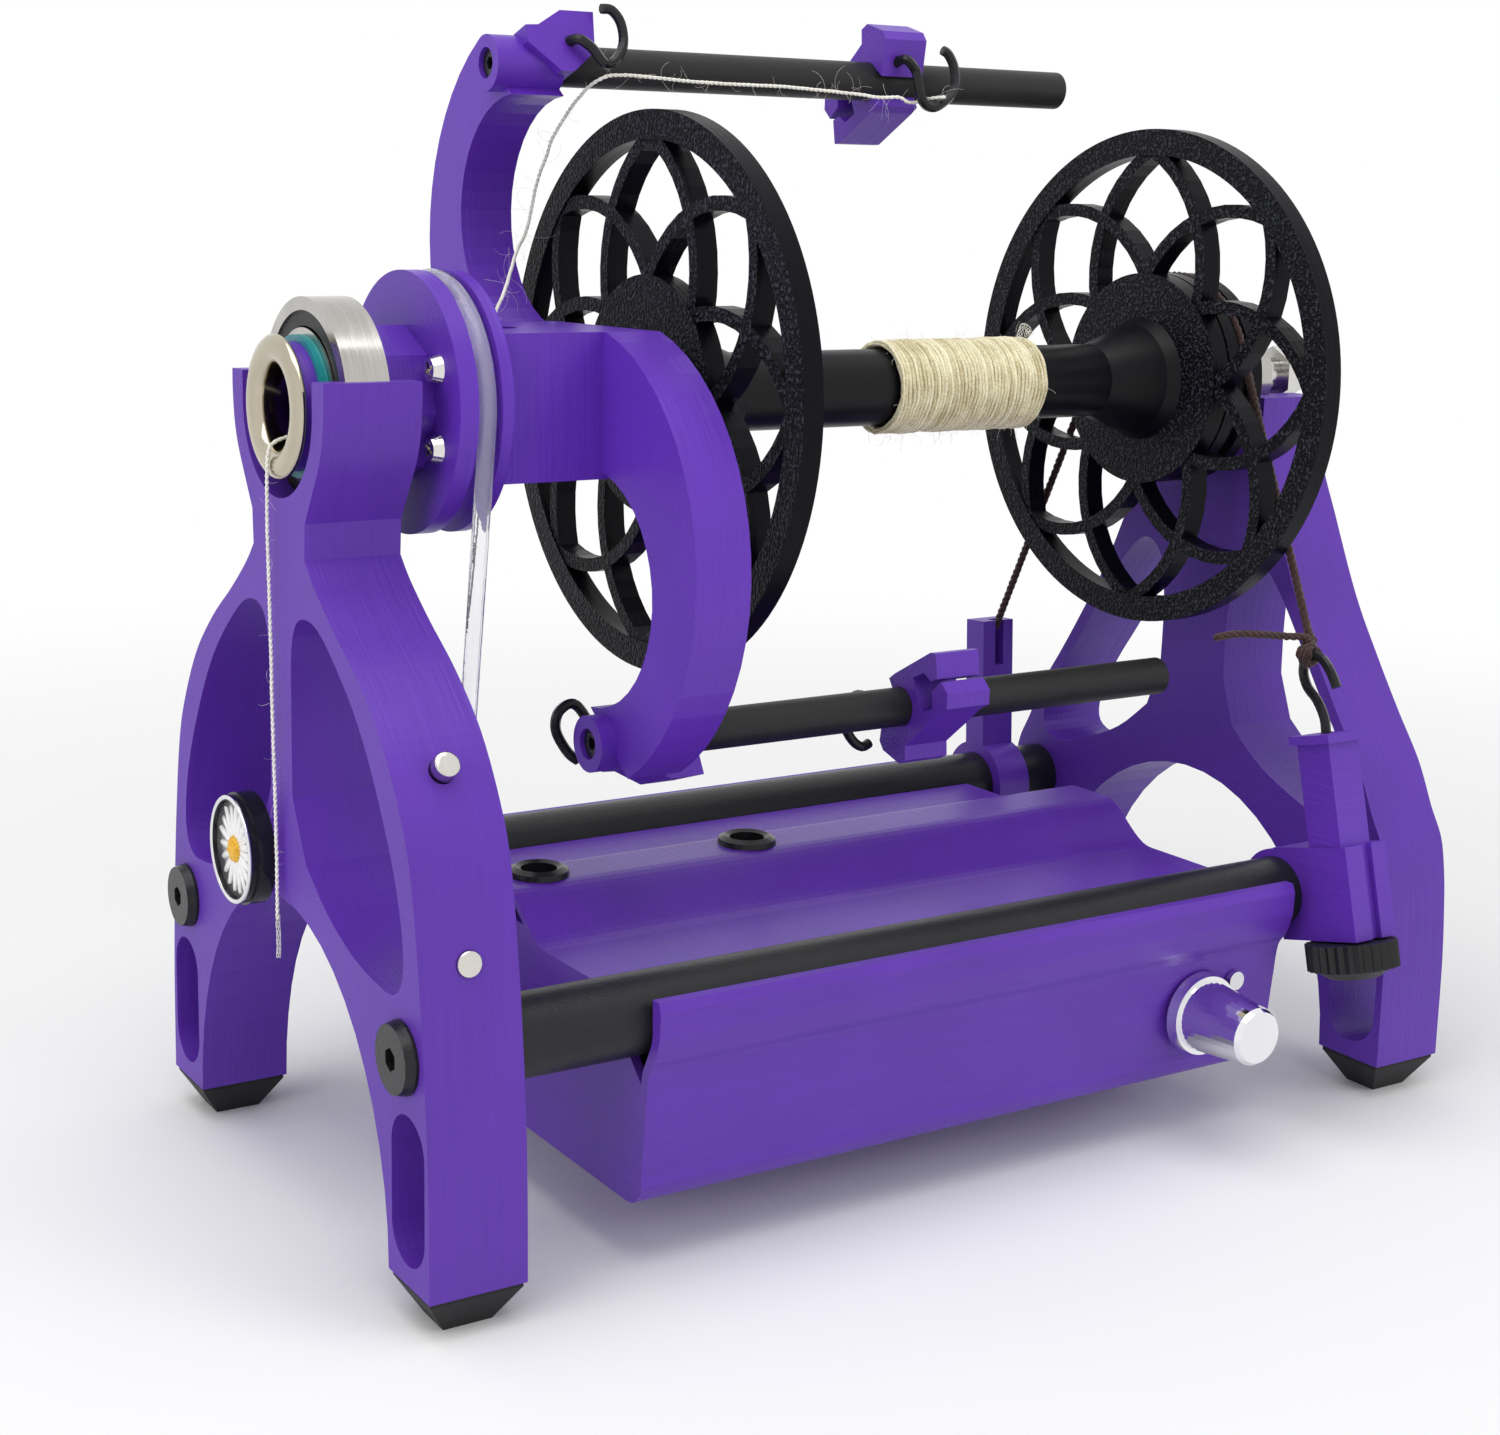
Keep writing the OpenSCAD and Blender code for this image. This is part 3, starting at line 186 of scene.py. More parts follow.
world = bpy.data.worlds.new("studio")
bpy.context.scene.world = world
world.use_nodes = True
sky = Board(world.node_tree)
sky_fill = 0.5
back = world.node_tree.nodes["Background"]
sky.feed(back.inputs["Color"], (1, 1, 1))
sky.feed(back.inputs["Strength"], sky.in_sight().ramp(0, 1) * (1 - sky_fill) + sky_fill)

lit_point = Vector((0, 0, 0.1))
lamps = (("lamp_above", (-0.25, -0.15, 1.25), (1.3, 1.0), 9.0),
         ("lamp_left", (-1.25, -0.35, 0.55), (0.8, 0.8), 4.5),
         ("lamp_right", (0.75, -1.1, 0.6), (0.8, 0.6), 4.0))
for name, where, size, watts in lamps:
    light = bpy.data.lights.new(name, "AREA")
    light.shape, light.size, light.size_y, light.energy = "RECTANGLE", size[0], size[1], watts
    lamp = bpy.data.objects.new(name, light)
    lamp.location = where
    lamp.rotation_euler = (lit_point - Vector(where)).to_track_quat("-Z", "Y").to_euler()
    lamp.visible_glossy = name == "lamp_above"
    bpy.context.scene.collection.objects.link(lamp)

# ---------- End frames ----------
# Two arched frames printed flat in violet plastic, 20 mm thick. The front one ends in a jaw for the
# big bearing. Their broad faces carry the fine grain of the print bed, their edges faint layer lines.
violet = (0.106, 0.028, 0.380)
glint_grey = (0.075, 0.082, 0.105)
axes = "XYZ"


def printed(name, colour, layers, bed_grain=0.35, gloss=0.42, speck=0.0, shine=0.38):
    """Printed plastic: layer lines square to one axis, a slow mottle, and a grainy bed face. Speck paints
    pale specks on that face as glints of light, and adds pits to its bump."""
    made = Finish(name, {"Specular IOR Level": shine})
    bed = made.facing(axes.index(layers))
    side = 1 - bed
    lines = made.grain(0.0007, 1.0, tuple(1.0 if axis == layers else 0.03 for axis in axes))
    mottle = made.grain(0.025, 2.0)
    sand = made.grain(0.0006, 2.0, rough=0.7)
    pits_and_glints = made.grain(0.0008, 1.5, rough=0.6) * bed
    grit = 2 * bed_grain
    tone = 0.5 + (mottle - 0.5) * 0.7 + (lines - 0.5) * side * 0.45 + (sand - 0.5) * bed * 1.4 * grit
    body = made.mix(tone, shade(colour, 0.80), shade(colour, 1.20))
    if speck:
        # pale specks on the bed face: painted glints of its grain
        body = made.mix(pits_and_glints.ramp(0.52, 0.66) * speck, body, glint_grey)
    relief = lines * side * 0.35 + sand * bed * grit + mottle * 0.5 + pits_and_glints * speck * 9
    made.paint(Base_Color=body, Roughness=gloss + (sand - 0.5) * 0.25 + bed * 0.08)
    made.bump(relief, 0.00022)
    return made.material


def dress(material, *names):
    """Gives CAD nodes their finish."""
    for name in names:
        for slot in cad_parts[name].material_slots:
            slot.material = material


frame_print = printed("frame_print", violet, "X")
dress(frame_print, "front_frame", "rear_frame")

# ---------- Feet, side tubes and magnets ----------
# Soft rubber feet pressed into the frames, two black-coated tubes held by socket screws, and two
# nickel-plated magnets let into the near front leg: the upper one like a short pin, the lower nearly flush.


def dark(name, colour, gloss, grain_size=0.0009, depth=0.00008, fixed=None):
    """A dark coated, moulded or rubber surface with a fine even grain."""
    spread = 0.35
    made = Finish(name, {"Specular IOR Level": 0.3, **(fixed or {})})
    fine, broad = made.grain(grain_size, 3.0, rough=0.65), made.grain(0.018, 2.0)
    tone = 0.5 + (fine - 0.5) * 0.9 + (broad - 0.5) * 0.8
    made.paint(Base_Color=made.mix(tone, shade(colour, 1 - spread), shade(colour, 1 + spread)),
               Roughness=gloss + (fine - 0.5) * 0.2 + (broad - 0.5) * 0.1)
    made.bump(fine + broad * 0.6, depth)
    return made.material


def metal(name, colour, gloss, brushed=None, depth=0.00002, spread=0.12):
    """Bare or plated metal; brushed names the axis that the fine scratches run round."""
    made = Finish(name, {"Metallic": 1.0})
    stretch = tuple(1.0 if axis == brushed else 0.04 for axis in axes) if brushed else (1, 1, 1)
    scratch = made.grain(0.0005, 2.0, stretch)
    stain = made.grain(0.012, 3.0)
    tone = 0.5 + (scratch - 0.5) * 0.7 + (stain - 0.5) * 0.9
    made.paint(Base_Color=made.mix(tone, shade(colour, 1 - spread), shade(colour, 1 + spread)),
               Roughness=gloss + (scratch - 0.5) * 0.12 + (stain - 0.5) * 0.12)
    made.bump(scratch, depth)
    return made.material


foot_rubber = dark("foot_rubber", (0.016, 0.016, 0.018), 0.62)
tube_coat = dark("tube_coat", (0.012, 0.0125, 0.0145), 0.36, 0.0007, 0.00012)
bolt_black = dark("bolt_black", (0.012, 0.012, 0.014), 0.30)
plug_steel = metal("plug_steel", (0.55, 0.54, 0.52), 0.35)
magnet_nickel = metal("magnet_nickel", (0.66, 0.64, 0.60), 0.16)
dress(foot_rubber, "rubber_feet")
dress(tube_coat, "side_tubes")
dress(bolt_black, "tube_bolts")
dress(plug_steel, "tube_plugs")


# where the middle of the spinner's box lies on the drawing
middle_x, middle_y = 132.7, -9.05


def at(x, y, z):
    """A place on the drawing, in millimetres from the front face, the spindle's plane and the floor."""
    return Vector((x - middle_x, y - middle_y, z)) / 1000


def turned(name, profile, material, place, count=72):
    """A piece turned from a closed profile of (radius, height) in millimetres, then put in its place.
    A point of radius 0 closes a pole."""
    corners, rows, sides = [], [], []
    for r, h in profile:
        first, places = len(corners), count if r else 1
        for i in range(places):
            a = 2 * math.pi * i / count
            corners.append((r * math.cos(a) / 1000, r * math.sin(a) / 1000, h / 1000))
        rows.append([first + i % places for i in range(count)])
    for row, after in zip(rows, rows[1:] + rows[:1]):
        for i in range(count):
            j = (i + 1) % count
            loop = tuple(dict.fromkeys((row[i], after[i], after[j], row[j])))
            if len(loop) > 2:
                sides.append(loop)
    made = bpy.data.meshes.new(name)
    made.from_pydata(corners, [], sides)
    for face in made.polygons:
        face.use_smooth = True
    made.transform(place)
    made.materials.append(material)
    piece = bpy.data.objects.new(name, made)
    bpy.context.scene.collection.objects.link(piece)
    return piece


def show(piece, slot, body, *nodes):
    """Puts a piece on the body it rides, in place of the CAD nodes named. The slot is not used."""
    if nodes:
        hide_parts(*nodes)
    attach(piece, body)


def magnet(name, y, z, lean, top):
    """A magnet let into the leg's edge, which leans out there; top is how far it stands proud."""
    r, sunk, leg_middle = 2.5, 2.1, 10
    outward = Matrix.Translation(at(leg_middle, y, z)) @ Matrix.Rotation(math.radians(90 - lean), 4, "X")
    return turned(name, (
        (0, top), (1.4, top), (2.1, top - 0.02), (2.35, top - 0.12), (2.48, top - 0.4), (r, top - 0.8),
        (r, -sunk), (0, -sunk)), magnet_nickel, outward, 60)


show(magnet("magnet_pin", -51.6, 102.5, 37, 3.4), "magnet_nickel", "stand", "holding_magnets")
show(magnet("magnet_button", -62.6, 69.5, 8, 0.8), "magnet_nickel", "stand")

# ---------- Motor box ----------
# A printed tray in two halves between the tubes, under a lid with a raised hump and two rubber
# grommets. It holds the motor and the board; the near wall carries the speed knob and the lamp.
tray_print = printed("tray_print", violet, "Z", 0.2, 0.40)
lid_print = printed("lid_print", shade(violet, 1.04), "X", 0.2, 0.38)
dress(tray_print, "tray_left", "tray_right")
dress(lid_print, "lid_left", "lid_right")
dress(dark("grommet_rubber", (0.010, 0.010, 0.012), 0.28, 0.002, 0.00005), "lid_grommets")
dress(metal("motor_can", (0.30, 0.30, 0.31), 0.34, "X"), "motor")
dress(metal("motor_screw_steel", (0.62, 0.61, 0.58), 0.25), "motor_screws")
dress(dark("control_black", (0.014, 0.014, 0.015), 0.38), "power_jack", "speed_control")
dress(metal("polished_aluminium", (0.86, 0.86, 0.88), 0.07, "Y", 0.000004, 0.05), "speed_knob")
dress(metal("lamp_bezel", (0.70, 0.70, 0.72), 0.12), "indicator_lamp")

board = Finish("circuit_board", {"Roughness": 0.35})
tracks = board.node("ShaderNodeTexBrick", {}, {"Vector": board.place(), "Scale": 160.0, "Mortar Size": 0.03,
                                               "Color1": (0.01, 0.10, 0.045), "Color2": (0.015, 0.13, 0.055),
                                               "Mortar": (0.05, 0.26, 0.12)})
board.paint(Base_Color=tracks)
board.bump(board.grain(0.001), 0.0001)
dress(board.material, "control_board")

# ---------- Front bearing and orifice ----------
# A sealed ball bearing of polished steel lies in the jaw. The flyer's hollow shaft turns in it, with
# a teal spacer ring and a polished ferrule in the mouth, where the fibre goes in.
bearing_steel = metal("bearing_steel", (0.47, 0.455, 0.43), 0.19, "X", 0.00001, 0.22)
seal_rubber = dark("seal_rubber", (0.014, 0.014, 0.016), 0.45)
ferrule_metal = metal("ferrule_metal", (0.50, 0.455, 0.355), 0.15, "X", 0.00001, 0.14)
teal = Finish("teal_ring", {"Specular IOR Level": 0.5})
teal.paint(Base_Color=teal.mix(teal.grain(0.004), (0.0, 0.20, 0.22), (0.01, 0.34, 0.35)),
           Roughness=0.32 + (teal.grain(0.0008) - 0.5) * 0.2)
teal.bump(teal.grain(0.0008), 0.00005)
dress(bearing_steel, "bearing_outer_ring", "bearing_inner_ring")
dress(seal_rubber, "bearing_seals")
dress(teal.material, "teal_ring")

axis_z = 164.0
bore_r, barrel_r, barrel_end, lip_back = 8.2, 9.1, 12.8, 1.6
in_mouth = Matrix.Translation(at(-1, 0, axis_z)) @ Matrix.Rotation(math.pi / 2, 4, "Y")
lip = turned("ferrule_lip", (
    (bore_r, barrel_end), (barrel_r, barrel_end), (barrel_r, lip_back), (13.7, lip_back), (13.98, 1.2),
    (13.9, 0.7), (13.5, 0.2), (12.8, -0.2), (11.9, -0.42), (11.0, -0.46), (10.1, -0.36), (9.3, -0.05),
    (8.7, 0.45), (8.35, 1.1), (bore_r, 1.9)), ferrule_metal, in_mouth, 120)
show(lip, "ferrule_metal", "flyer", "orifice_ferrule")

# ---------- Flyer shaft, pulley and motor pulley ----------
# Printed violet collar, cover and grooved pulley turn with the flyer; four plated screws hold the
# cover. The motor's small black pulley sits straight below.
flyer_violet = (0.112, 0.027, 0.420)
flyer_print = printed("flyer_print", flyer_violet, "X", 0.25, 0.36)
dress(flyer_print, "orifice_tube", "shaft_collar", "pulley_cover", "drive_pulley")
dress(metal("screw_chrome", (0.74, 0.72, 0.70), 0.14), "pulley_screws")
dress(metal("shaft_steel", (0.60, 0.59, 0.57), 0.22, "X"), "motor_shaft")
dress(dark("motor_pulley_black", (0.016, 0.016, 0.018), 0.42), "motor_pulley")

# ---------- Drive belt ----------
# A round belt of clear plastic, welded into a loop, runs from the motor's pulley over the big
# groove of the flyer's pulley. Its surface is slightly rippled, so it shines in streaks.


class Rule(Board):
    """A Geometry Nodes tree with named sizes. It ends in Realize Instances and Set Material."""

    def __init__(self, name, sizes):
        super().__init__(bpy.data.node_groups.new(name, "GeometryNodeTree"))
        self.sizes = sizes
        sockets = self.tree.interface
        sockets.new_socket("Base", in_out="INPUT", socket_type="NodeSocketGeometry")
        for size, value in sizes.items():
            kind = "NodeSocketInt" if isinstance(value, int) else "NodeSocketFloat"
            sockets.new_socket(size, in_out="INPUT", socket_type=kind).default_value = value
        sockets.new_socket("Shape", in_out="OUTPUT", socket_type="NodeSocketGeometry")
        self.start = self.tree.nodes.new("NodeGroupInput")
        self.base = Wire(self, self.start.outputs["Base"])

    def size(self, name):
        return Wire(self, self.start.outputs[name])

    def tube(self, path, radius, sides):
        ring = self.node("GeometryNodeCurvePrimitiveCircle", {}, {"Resolution": sides, "Radius": radius})
        return self.node("GeometryNodeCurveToMesh", {}, {"Curve": path, "Profile Curve": ring,
                                                         "Fill Caps": True})

    def join(self, *shapes):
        made = self.tree.nodes.new("GeometryNodeJoinGeometry")
        for shape in shapes:
            self.tree.links.new(shape.socket, made.inputs[0])
        return Wire(self, made.outputs[0])

    def scaled(self, vector, by):
        return self.node("ShaderNodeVectorMath", {"operation": "SCALE"}, {0: vector, "Scale": by})

    def stray(self, seed, scale):
        """Small steps off a path, which wander as it goes."""
        here = self.node("GeometryNodeInputPosition")
        noise = self.node("ShaderNodeTexNoise", {"noise_dimensions": "4D"}, {
            "Vector": here, "W": seed, "Scale": scale, "Detail": 2.0}, out=1)
        centred = self.node("ShaderNodeVectorMath", {"operation": "SUBTRACT"}, {0: noise, 1: (0.5, 0.5, 0.5)})
        return self.scaled(centred, self.size("Wander"))

    def finish(self, shape, material):
        smooth = self.node("GeometryNodeSetShadeSmooth", {}, {0: shape})
        solid = self.node("GeometryNodeRealizeInstances", {}, {0: smooth})
        coated = self.node("GeometryNodeSetMaterial", {}, {0: solid, "Material": material})
        end = self.tree.nodes.new("NodeGroupOutput")
        self.feed(end.inputs["Shape"], coated)

    def grow(self, name, base, **changes):
        """Runs the rule on a base mesh, with some sizes changed, and keeps the result as a plain mesh."""
        sizes = {**self.sizes, **{size.replace("_", " "): value for size, value in changes.items()}}
        seed = bpy.data.objects.new(name + "_base", base)
        bpy.context.scene.collection.objects.link(seed)
        rule = seed.modifiers.new("rule", "NODES")
        rule.node_group = self.tree
        for item in self.tree.interface.items_tree:
            if item.in_out == "INPUT" and item.name in sizes:
                rule[item.identifier] = sizes[item.name]
        bpy.context.view_layer.update()
        whole = seed.evaluated_get(bpy.context.evaluated_depsgraph_get())
        piece = bpy.data.objects.new(name, bpy.data.meshes.new_from_object(whole))
        bpy.data.objects.remove(seed)
        bpy.context.scene.collection.objects.link(piece)
        return piece


def line_mesh(name, points, closed=False):
    """A bare chain of edges through points: the base that a tube or a twisted cord follows."""
    made = bpy.data.meshes.new(name)
    edges = [(i, i + 1) for i in range(len(points) - 1)] + ([(len(points) - 1, 0)] if closed else [])
    made.from_pydata([tuple(p) for p in points], edges, [])
    return made


def clear_plastic():
    made = Finish("clear_belt", {"Transmission Weight": 0.86, "IOR": 1.36, "Specular IOR Level": 1.0})
    ripple = made.grain(0.0035, 3.0)
    made.paint(Base_Color=made.mix(ripple, (0.93, 0.93, 0.97), (1.0, 1.0, 1.0)),
               Roughness=0.05 + (ripple - 0.5) * 0.08)
    made.bump(ripple, 0.00025)
    return made.material


def arc_at(x, z, r, start, sweep, steps):
    """Places on an arc in the plane x, about a point at height z in the spindle's plane."""
    angles = [start + sweep * i / steps for i in range(steps + 1)]
    return [at(x, r * math.cos(a), z + r * math.sin(a)) for a in angles]


belt_x, belt_r = 33.0, 1.75
motor_z = 38.0
big_r, small_r = 24.5, 7.5
belt_lean = math.acos((big_r - small_r) / (axis_z - motor_z))
belt_path = arc_at(belt_x, axis_z, big_r, -math.pi / 2 + belt_lean, 2 * math.pi - 2 * belt_lean, 64)
belt_path += arc_at(belt_x, motor_z, small_r, 1.5 * math.pi - belt_lean, 2 * belt_lean, 32)
belt_rule = Rule("belt_rule", {"Radius": belt_r / 1000})
belt_curve = belt_rule.node("GeometryNodeMeshToCurve", {}, {0: belt_rule.base})
belt_rule.finish(belt_rule.tube(belt_curve, belt_rule.size("Radius"), 20), clear_plastic())
belt = belt_rule.grow("clear_belt", line_mesh("belt_line", belt_path, True))
show(belt, "belt_clear", "stand", "drive_belt")

# ---------- Flyer arms, rods, hooks and spindle ----------
# Two curved arms printed in one piece with the hub, each with a black rod screwed in. Bent steel
# wire hooks guide the yarn. The steel spindle runs through the bobbin to the rear bearing.
dress(flyer_print, "flyer_arms")
rod_black = dark("rod_black", (0.016, 0.016, 0.017), 0.46, 0.0006, 0.00006)
hook_wire = dark("hook_wire", (0.020, 0.020, 0.022), 0.24, 0.0012, 0.00005, fixed={"Metallic": 0.4})
dress(rod_black, "flyer_rods")
dress(bolt_black, "rod_screws")
dress(hook_wire, "fixed_hooks")
dress(metal("spindle_steel", (0.64, 0.63, 0.61), 0.18, "X"), "spindle")
dress(bearing_steel, "rear_bearing_outer", "rear_bearing_inner")
dress(metal("nut_steel", (0.66, 0.65, 0.62), 0.20), "spindle_nut")

# ---------- Sliders ----------
# Springy printed clips that grip the rods, each with a wire hook. They slide along as the bobbin
# fills. Their end faces show the grain of the print bed.
clip_print = printed("clip_print", shade(violet, 1.08), "X", 0.5, 0.40)
dress(clip_print, "upper_clip", "lower_clip")
dress(hook_wire, "upper_hook", "lower_hook")

# ---------- Bobbin ----------
# Printed in black: two flanges of crossing curved ribs on a flared core, and a brake pulley with a
# V groove at the rear. The broad faces are grainy from the print bed, with pale specks painted on them as
# glints; the ribs' sides are satin.
bobbin_black = (0.0020, 0.0022, 0.0042)
bobbin_print = printed("bobbin_print", bobbin_black, "X", 0.9, 0.34, speck=0.55, shine=0.10)
core_black = dark("core_black", (0.0015, 0.0015, 0.003), 0.36, depth=0.00001,
                  fixed={"Specular IOR Level": 0.22})
dress(bobbin_print, "bobbin_front_flange", "bobbin_rear_flange", "brake_pulley")
dress(core_black, "bobbin_core")

# ---------- Yarn on the bobbin ----------
# Cream wool singles, wound side by side on the core in two layers, a little uneven, with loose
# fibres standing off and a small tuft at the end. It turns with the bobbin.


def wool(name, dark_tone, light_tone, shade_and_tone_bands=0.0):
    """Spun wool; bands sets how strong the light and dark bands along X on a winding are: painted shade
    between the turns, and turns that differ in tone.
    """
    made = Finish(name, {"Specular IOR Level": 0.2, "Sheen Weight": 0.3, "Sheen Roughness": 0.5})
    strand, blot = made.grain(0.0005, 3.0), made.grain(0.006, 2.0)
    tone = 0.5 + (strand - 0.5) * 1.6 + (blot - 0.5) * 1.2
    if shade_and_tone_bands:
        # bands across X: painted shade between the turns of the winding, with tone that differs from turn to
        # turn
        tone = tone + (made.grain(0.0012, 2.0, (1, 0.03, 0.03)) - 0.5) * shade_and_tone_bands
    made.paint(Base_Color=made.mix(tone, dark_tone, light_tone), Roughness=0.78 + (strand - 0.5) * 0.2)
    made.bump(strand, 0.0002)
    return made.material


cream_wool = wool("cream_wool", (0.58, 0.49, 0.27), (1.0, 0.95, 0.69), 2.4)
white_wool = wool("white_wool", (0.84, 0.81, 0.70), (0.97, 0.96, 0.90))

# two layers of wound yarn, each a coil along the core that strays a little
wind_x0, wind_x1 = 142.0, 184.0
wind_margin = 0.5
wind_rule = Rule("winding_rule", {
    "Turns": 46.0, "Width": (wind_x1 - wind_x0 - 2 * wind_margin) / 1000, "Radius": 0.01010,
    "Under": 0.0095, "Thread": 0.00043, "Wander": 0.0015, "Seed": 3})
layers = []
for layer, radius, turn_share in ((1, "Under", 1.0), (-1, "Radius", 0.93)):
    coil = wind_rule.node("GeometryNodeCurveSpiral", {}, {
        "Resolution": 44, "Rotations": wind_rule.size("Turns") * turn_share,
        "Start Radius": wind_rule.size(radius), "End Radius": wind_rule.size(radius),
        "Height": wind_rule.size("Width")})
    laid = wind_rule.node("GeometryNodeSetPosition", {}, {
        0: coil, "Offset": wind_rule.stray(wind_rule.size("Seed") * 3.7 + layer, 210.0)})
    layers.append(wind_rule.tube(laid, wind_rule.size("Thread"), 7))
lengthwise = wind_rule.node("GeometryNodeTransform", {}, {
    0: wind_rule.join(*layers), "Rotation": (0, math.pi / 2, 0)})
wind_rule.finish(lengthwise, cream_wool)

# loose fibres: short bent hairs that stand off any yarn, so many to the square metre
hair_rule = Rule("hair_rule", {"Hairs": 26000.0, "Length": 0.003, "Thickness": 0.000022, "Seed": 1})
arc = hair_rule.node("GeometryNodeCurveQuadraticBezier", {}, {
    "Resolution": 6, "Start": (0, 0, 0), "Middle": (0.15, 0.1, 0.9), "End": (0.85, 0.35, 1.0)})
roots = hair_rule.node("GeometryNodeDistributePointsOnFaces", {}, {
    "Mesh": hair_rule.base, "Density": hair_rule.size("Hairs"), "Seed": hair_rule.size("Seed")}, out="Points")
upright = Wire(hair_rule, roots.socket.node.outputs["Rotation"])
share = hair_rule.node("FunctionNodeRandomValue", {"data_type": "FLOAT"},
                       {"Min": 0.25, "Max": 1.0, "Seed": hair_rule.size("Seed")}, out=1)
stuck = hair_rule.node("GeometryNodeInstanceOnPoints", {}, {
    "Points": roots, "Instance": arc, "Rotation": upright, "Scale": share * hair_rule.size("Length")})
spin = hair_rule.node("FunctionNodeRandomValue", {"data_type": "FLOAT_VECTOR"}, {
    "Min": (-0.5, -0.5, -3.14), "Max": (0.5, 0.5, 3.14), "Seed": hair_rule.size("Seed") * 7}, out=0)
stuck = hair_rule.node("GeometryNodeRotateInstances", {}, {"Instances": stuck, "Rotation": spin})
strands = hair_rule.node("GeometryNodeRealizeInstances", {}, {0: stuck})
hair_rule.finish(hair_rule.tube(strands, hair_rule.size("Thickness"), 3), white_wool)

winding = wind_rule.grow("wound_yarn", bpy.data.meshes.new("winding_base"))
winding.data.transform(Matrix.Translation(at(wind_x0 + wind_margin, 0, axis_z)))
show(winding, "yarn", "bobbin", "yarn_turns", "yarn_core")
show(hair_rule.grow("wound_yarn_hairs", winding.data.copy(), Length=0.0036, Thickness=0.000028, Seed=5),
     "yarn", "bobbin")


def smooth_path(points, spacing=0.0004):
    """A smooth curve through points, as places about that many metres apart."""
    points = [Vector(p) for p in points]
    ends = [points[0] * 2 - points[1], *points, points[-1] * 2 - points[-2]]
    path = []
    for i in range(1, len(ends) - 2):
        a, b, c, d = ends[i - 1:i + 3]
        pieces = max(1, round((c - b).length / spacing))
        for k in range(pieces):
            t = k / pieces
            path.append(0.5 * (2 * b + (c - a) * t + (2 * a - 5 * b + 4 * c - d) * t * t
                               + (3 * b - a - 3 * c + d) * t * t * t))
    return [*path, points[-1]]


def twist_rule(name, plies, material, sizes):
    """Plies laid round a path like rope: each runs a fixed way off the middle, turning as it goes."""
    rule = Rule(name, sizes)
    path = rule.node("GeometryNodeMeshToCurve", {}, {0: rule.base})
    along = rule.node("GeometryNodeSplineParameter", out="Length")
    tangent, normal = rule.node("GeometryNodeInputTangent"), rule.node("GeometryNodeInputNormal")
    stray = rule.stray(rule.size("Seed") * 1.3, 160.0)
    strands = []
    for ply in range(plies):
        angle = along * rule.size("Turns Per Metre") * (2 * math.pi) + 2 * math.pi * ply / plies
        arm = rule.node("ShaderNodeVectorRotate", {"rotation_type": "AXIS_ANGLE"}, {
            "Vector": rule.scaled(normal, rule.size("Off Middle")), "Axis": tangent, "Angle": angle})
        off = rule.node("ShaderNodeVectorMath", {"operation": "ADD"}, {0: arm, 1: stray})
        moved = rule.node("GeometryNodeSetPosition", {}, {0: path, "Offset": off})
        strands.append(rule.tube(moved, rule.size("Ply Radius"), 6))
    rule.finish(rule.join(*strands), material)
    return rule


def stepped(start, steps, spacing=0.0004):
    """A smooth path through the places that lie these steps, in millimetres, off a start."""
    return smooth_path([start + Vector(step) / 1000 for step in steps], spacing)


# a wisp is six thin plies that stray far off a short path
wisp_rule = twist_rule("wisp_rule", 6, white_wool, {
    "Ply Radius": 0.00005, "Off Middle": 0.0006, "Turns Per Metre": 150.0, "Wander": 0.0022, "Seed": 7})
tuft_line = stepped(at(wind_x1 - 1.6, -1.5, axis_z + 10), (
    (-1.5, -1, -0.3), (-0.4, -0.4, 1.6), (0.8, 0.6, 3.0), (2.0, 0.2, 2.6), (1.2, -0.8, 1.2),
    (2.6, -0.4, 1.8)), spacing=0.0003)
show(wisp_rule.grow("winding_tuft", line_mesh("tuft_line", tuft_line)), "yarn", "bobbin")

# ---------- Yarn over the flyer ----------
# Fresh white yarn leaves the hub through a hole in its side, goes over the fixed hook and along the
# rod to the slider's hook. It is drawn as two twisted plies with fine hairs.
yarn_rule = twist_rule("yarn_rule", 2, white_wool, {
    "Ply Radius": 0.00026, "Off Middle": 0.00017, "Turns Per Metre": 420.0, "Wander": 0.0006, "Seed": 4})
flyer_turn = math.radians(18.7)


def on_flyer(x, y, z):
    """A place in the flyer's own frame, where the upper rod lies straight above the spindle."""
    return at(x, y * math.cos(flyer_turn) + z * math.sin(flyer_turn),
              axis_z - y * math.sin(flyer_turn) + z * math.cos(flyer_turn))


guide_route = [at(x, y, axis_z + z) for x, y, z in (
    (47, 0, 11), (47, 0, 17), (52, 6, 20.5), (60, 18, 25), (67, 28.5, 29), (73.8, 36.5, 34), (76, 36, 44),
    (77, 29, 55), (78.4, 20.6, 62.2), (80.4, 16.6, 65))]
guide_route += [on_flyer(x, y, z) for x, y, z in (
    (86, -6, 67.6), (104, -6, 66.9), (125, -6, 66.7), (144, -6, 66), (152, -6.4, 65.2), (156.5, -7.4, 65),
    (159, -7.4, 63.9), (161.5, -7.4, 64), (163.6, -8.6, 64.3), (165, -10.4, 64), (166.2, -12, 63.6))]
guide = yarn_rule.grow("yarn_over_flyer", line_mesh("guide_line", smooth_path(guide_route)))
guide_hair = hair_rule.grow("yarn_over_flyer_hairs", guide.data.copy(), Hairs=150000.0, Length=0.005, Seed=9)
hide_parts("yarn_guide")
for piece in (guide, guide_hair):
    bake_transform(piece)

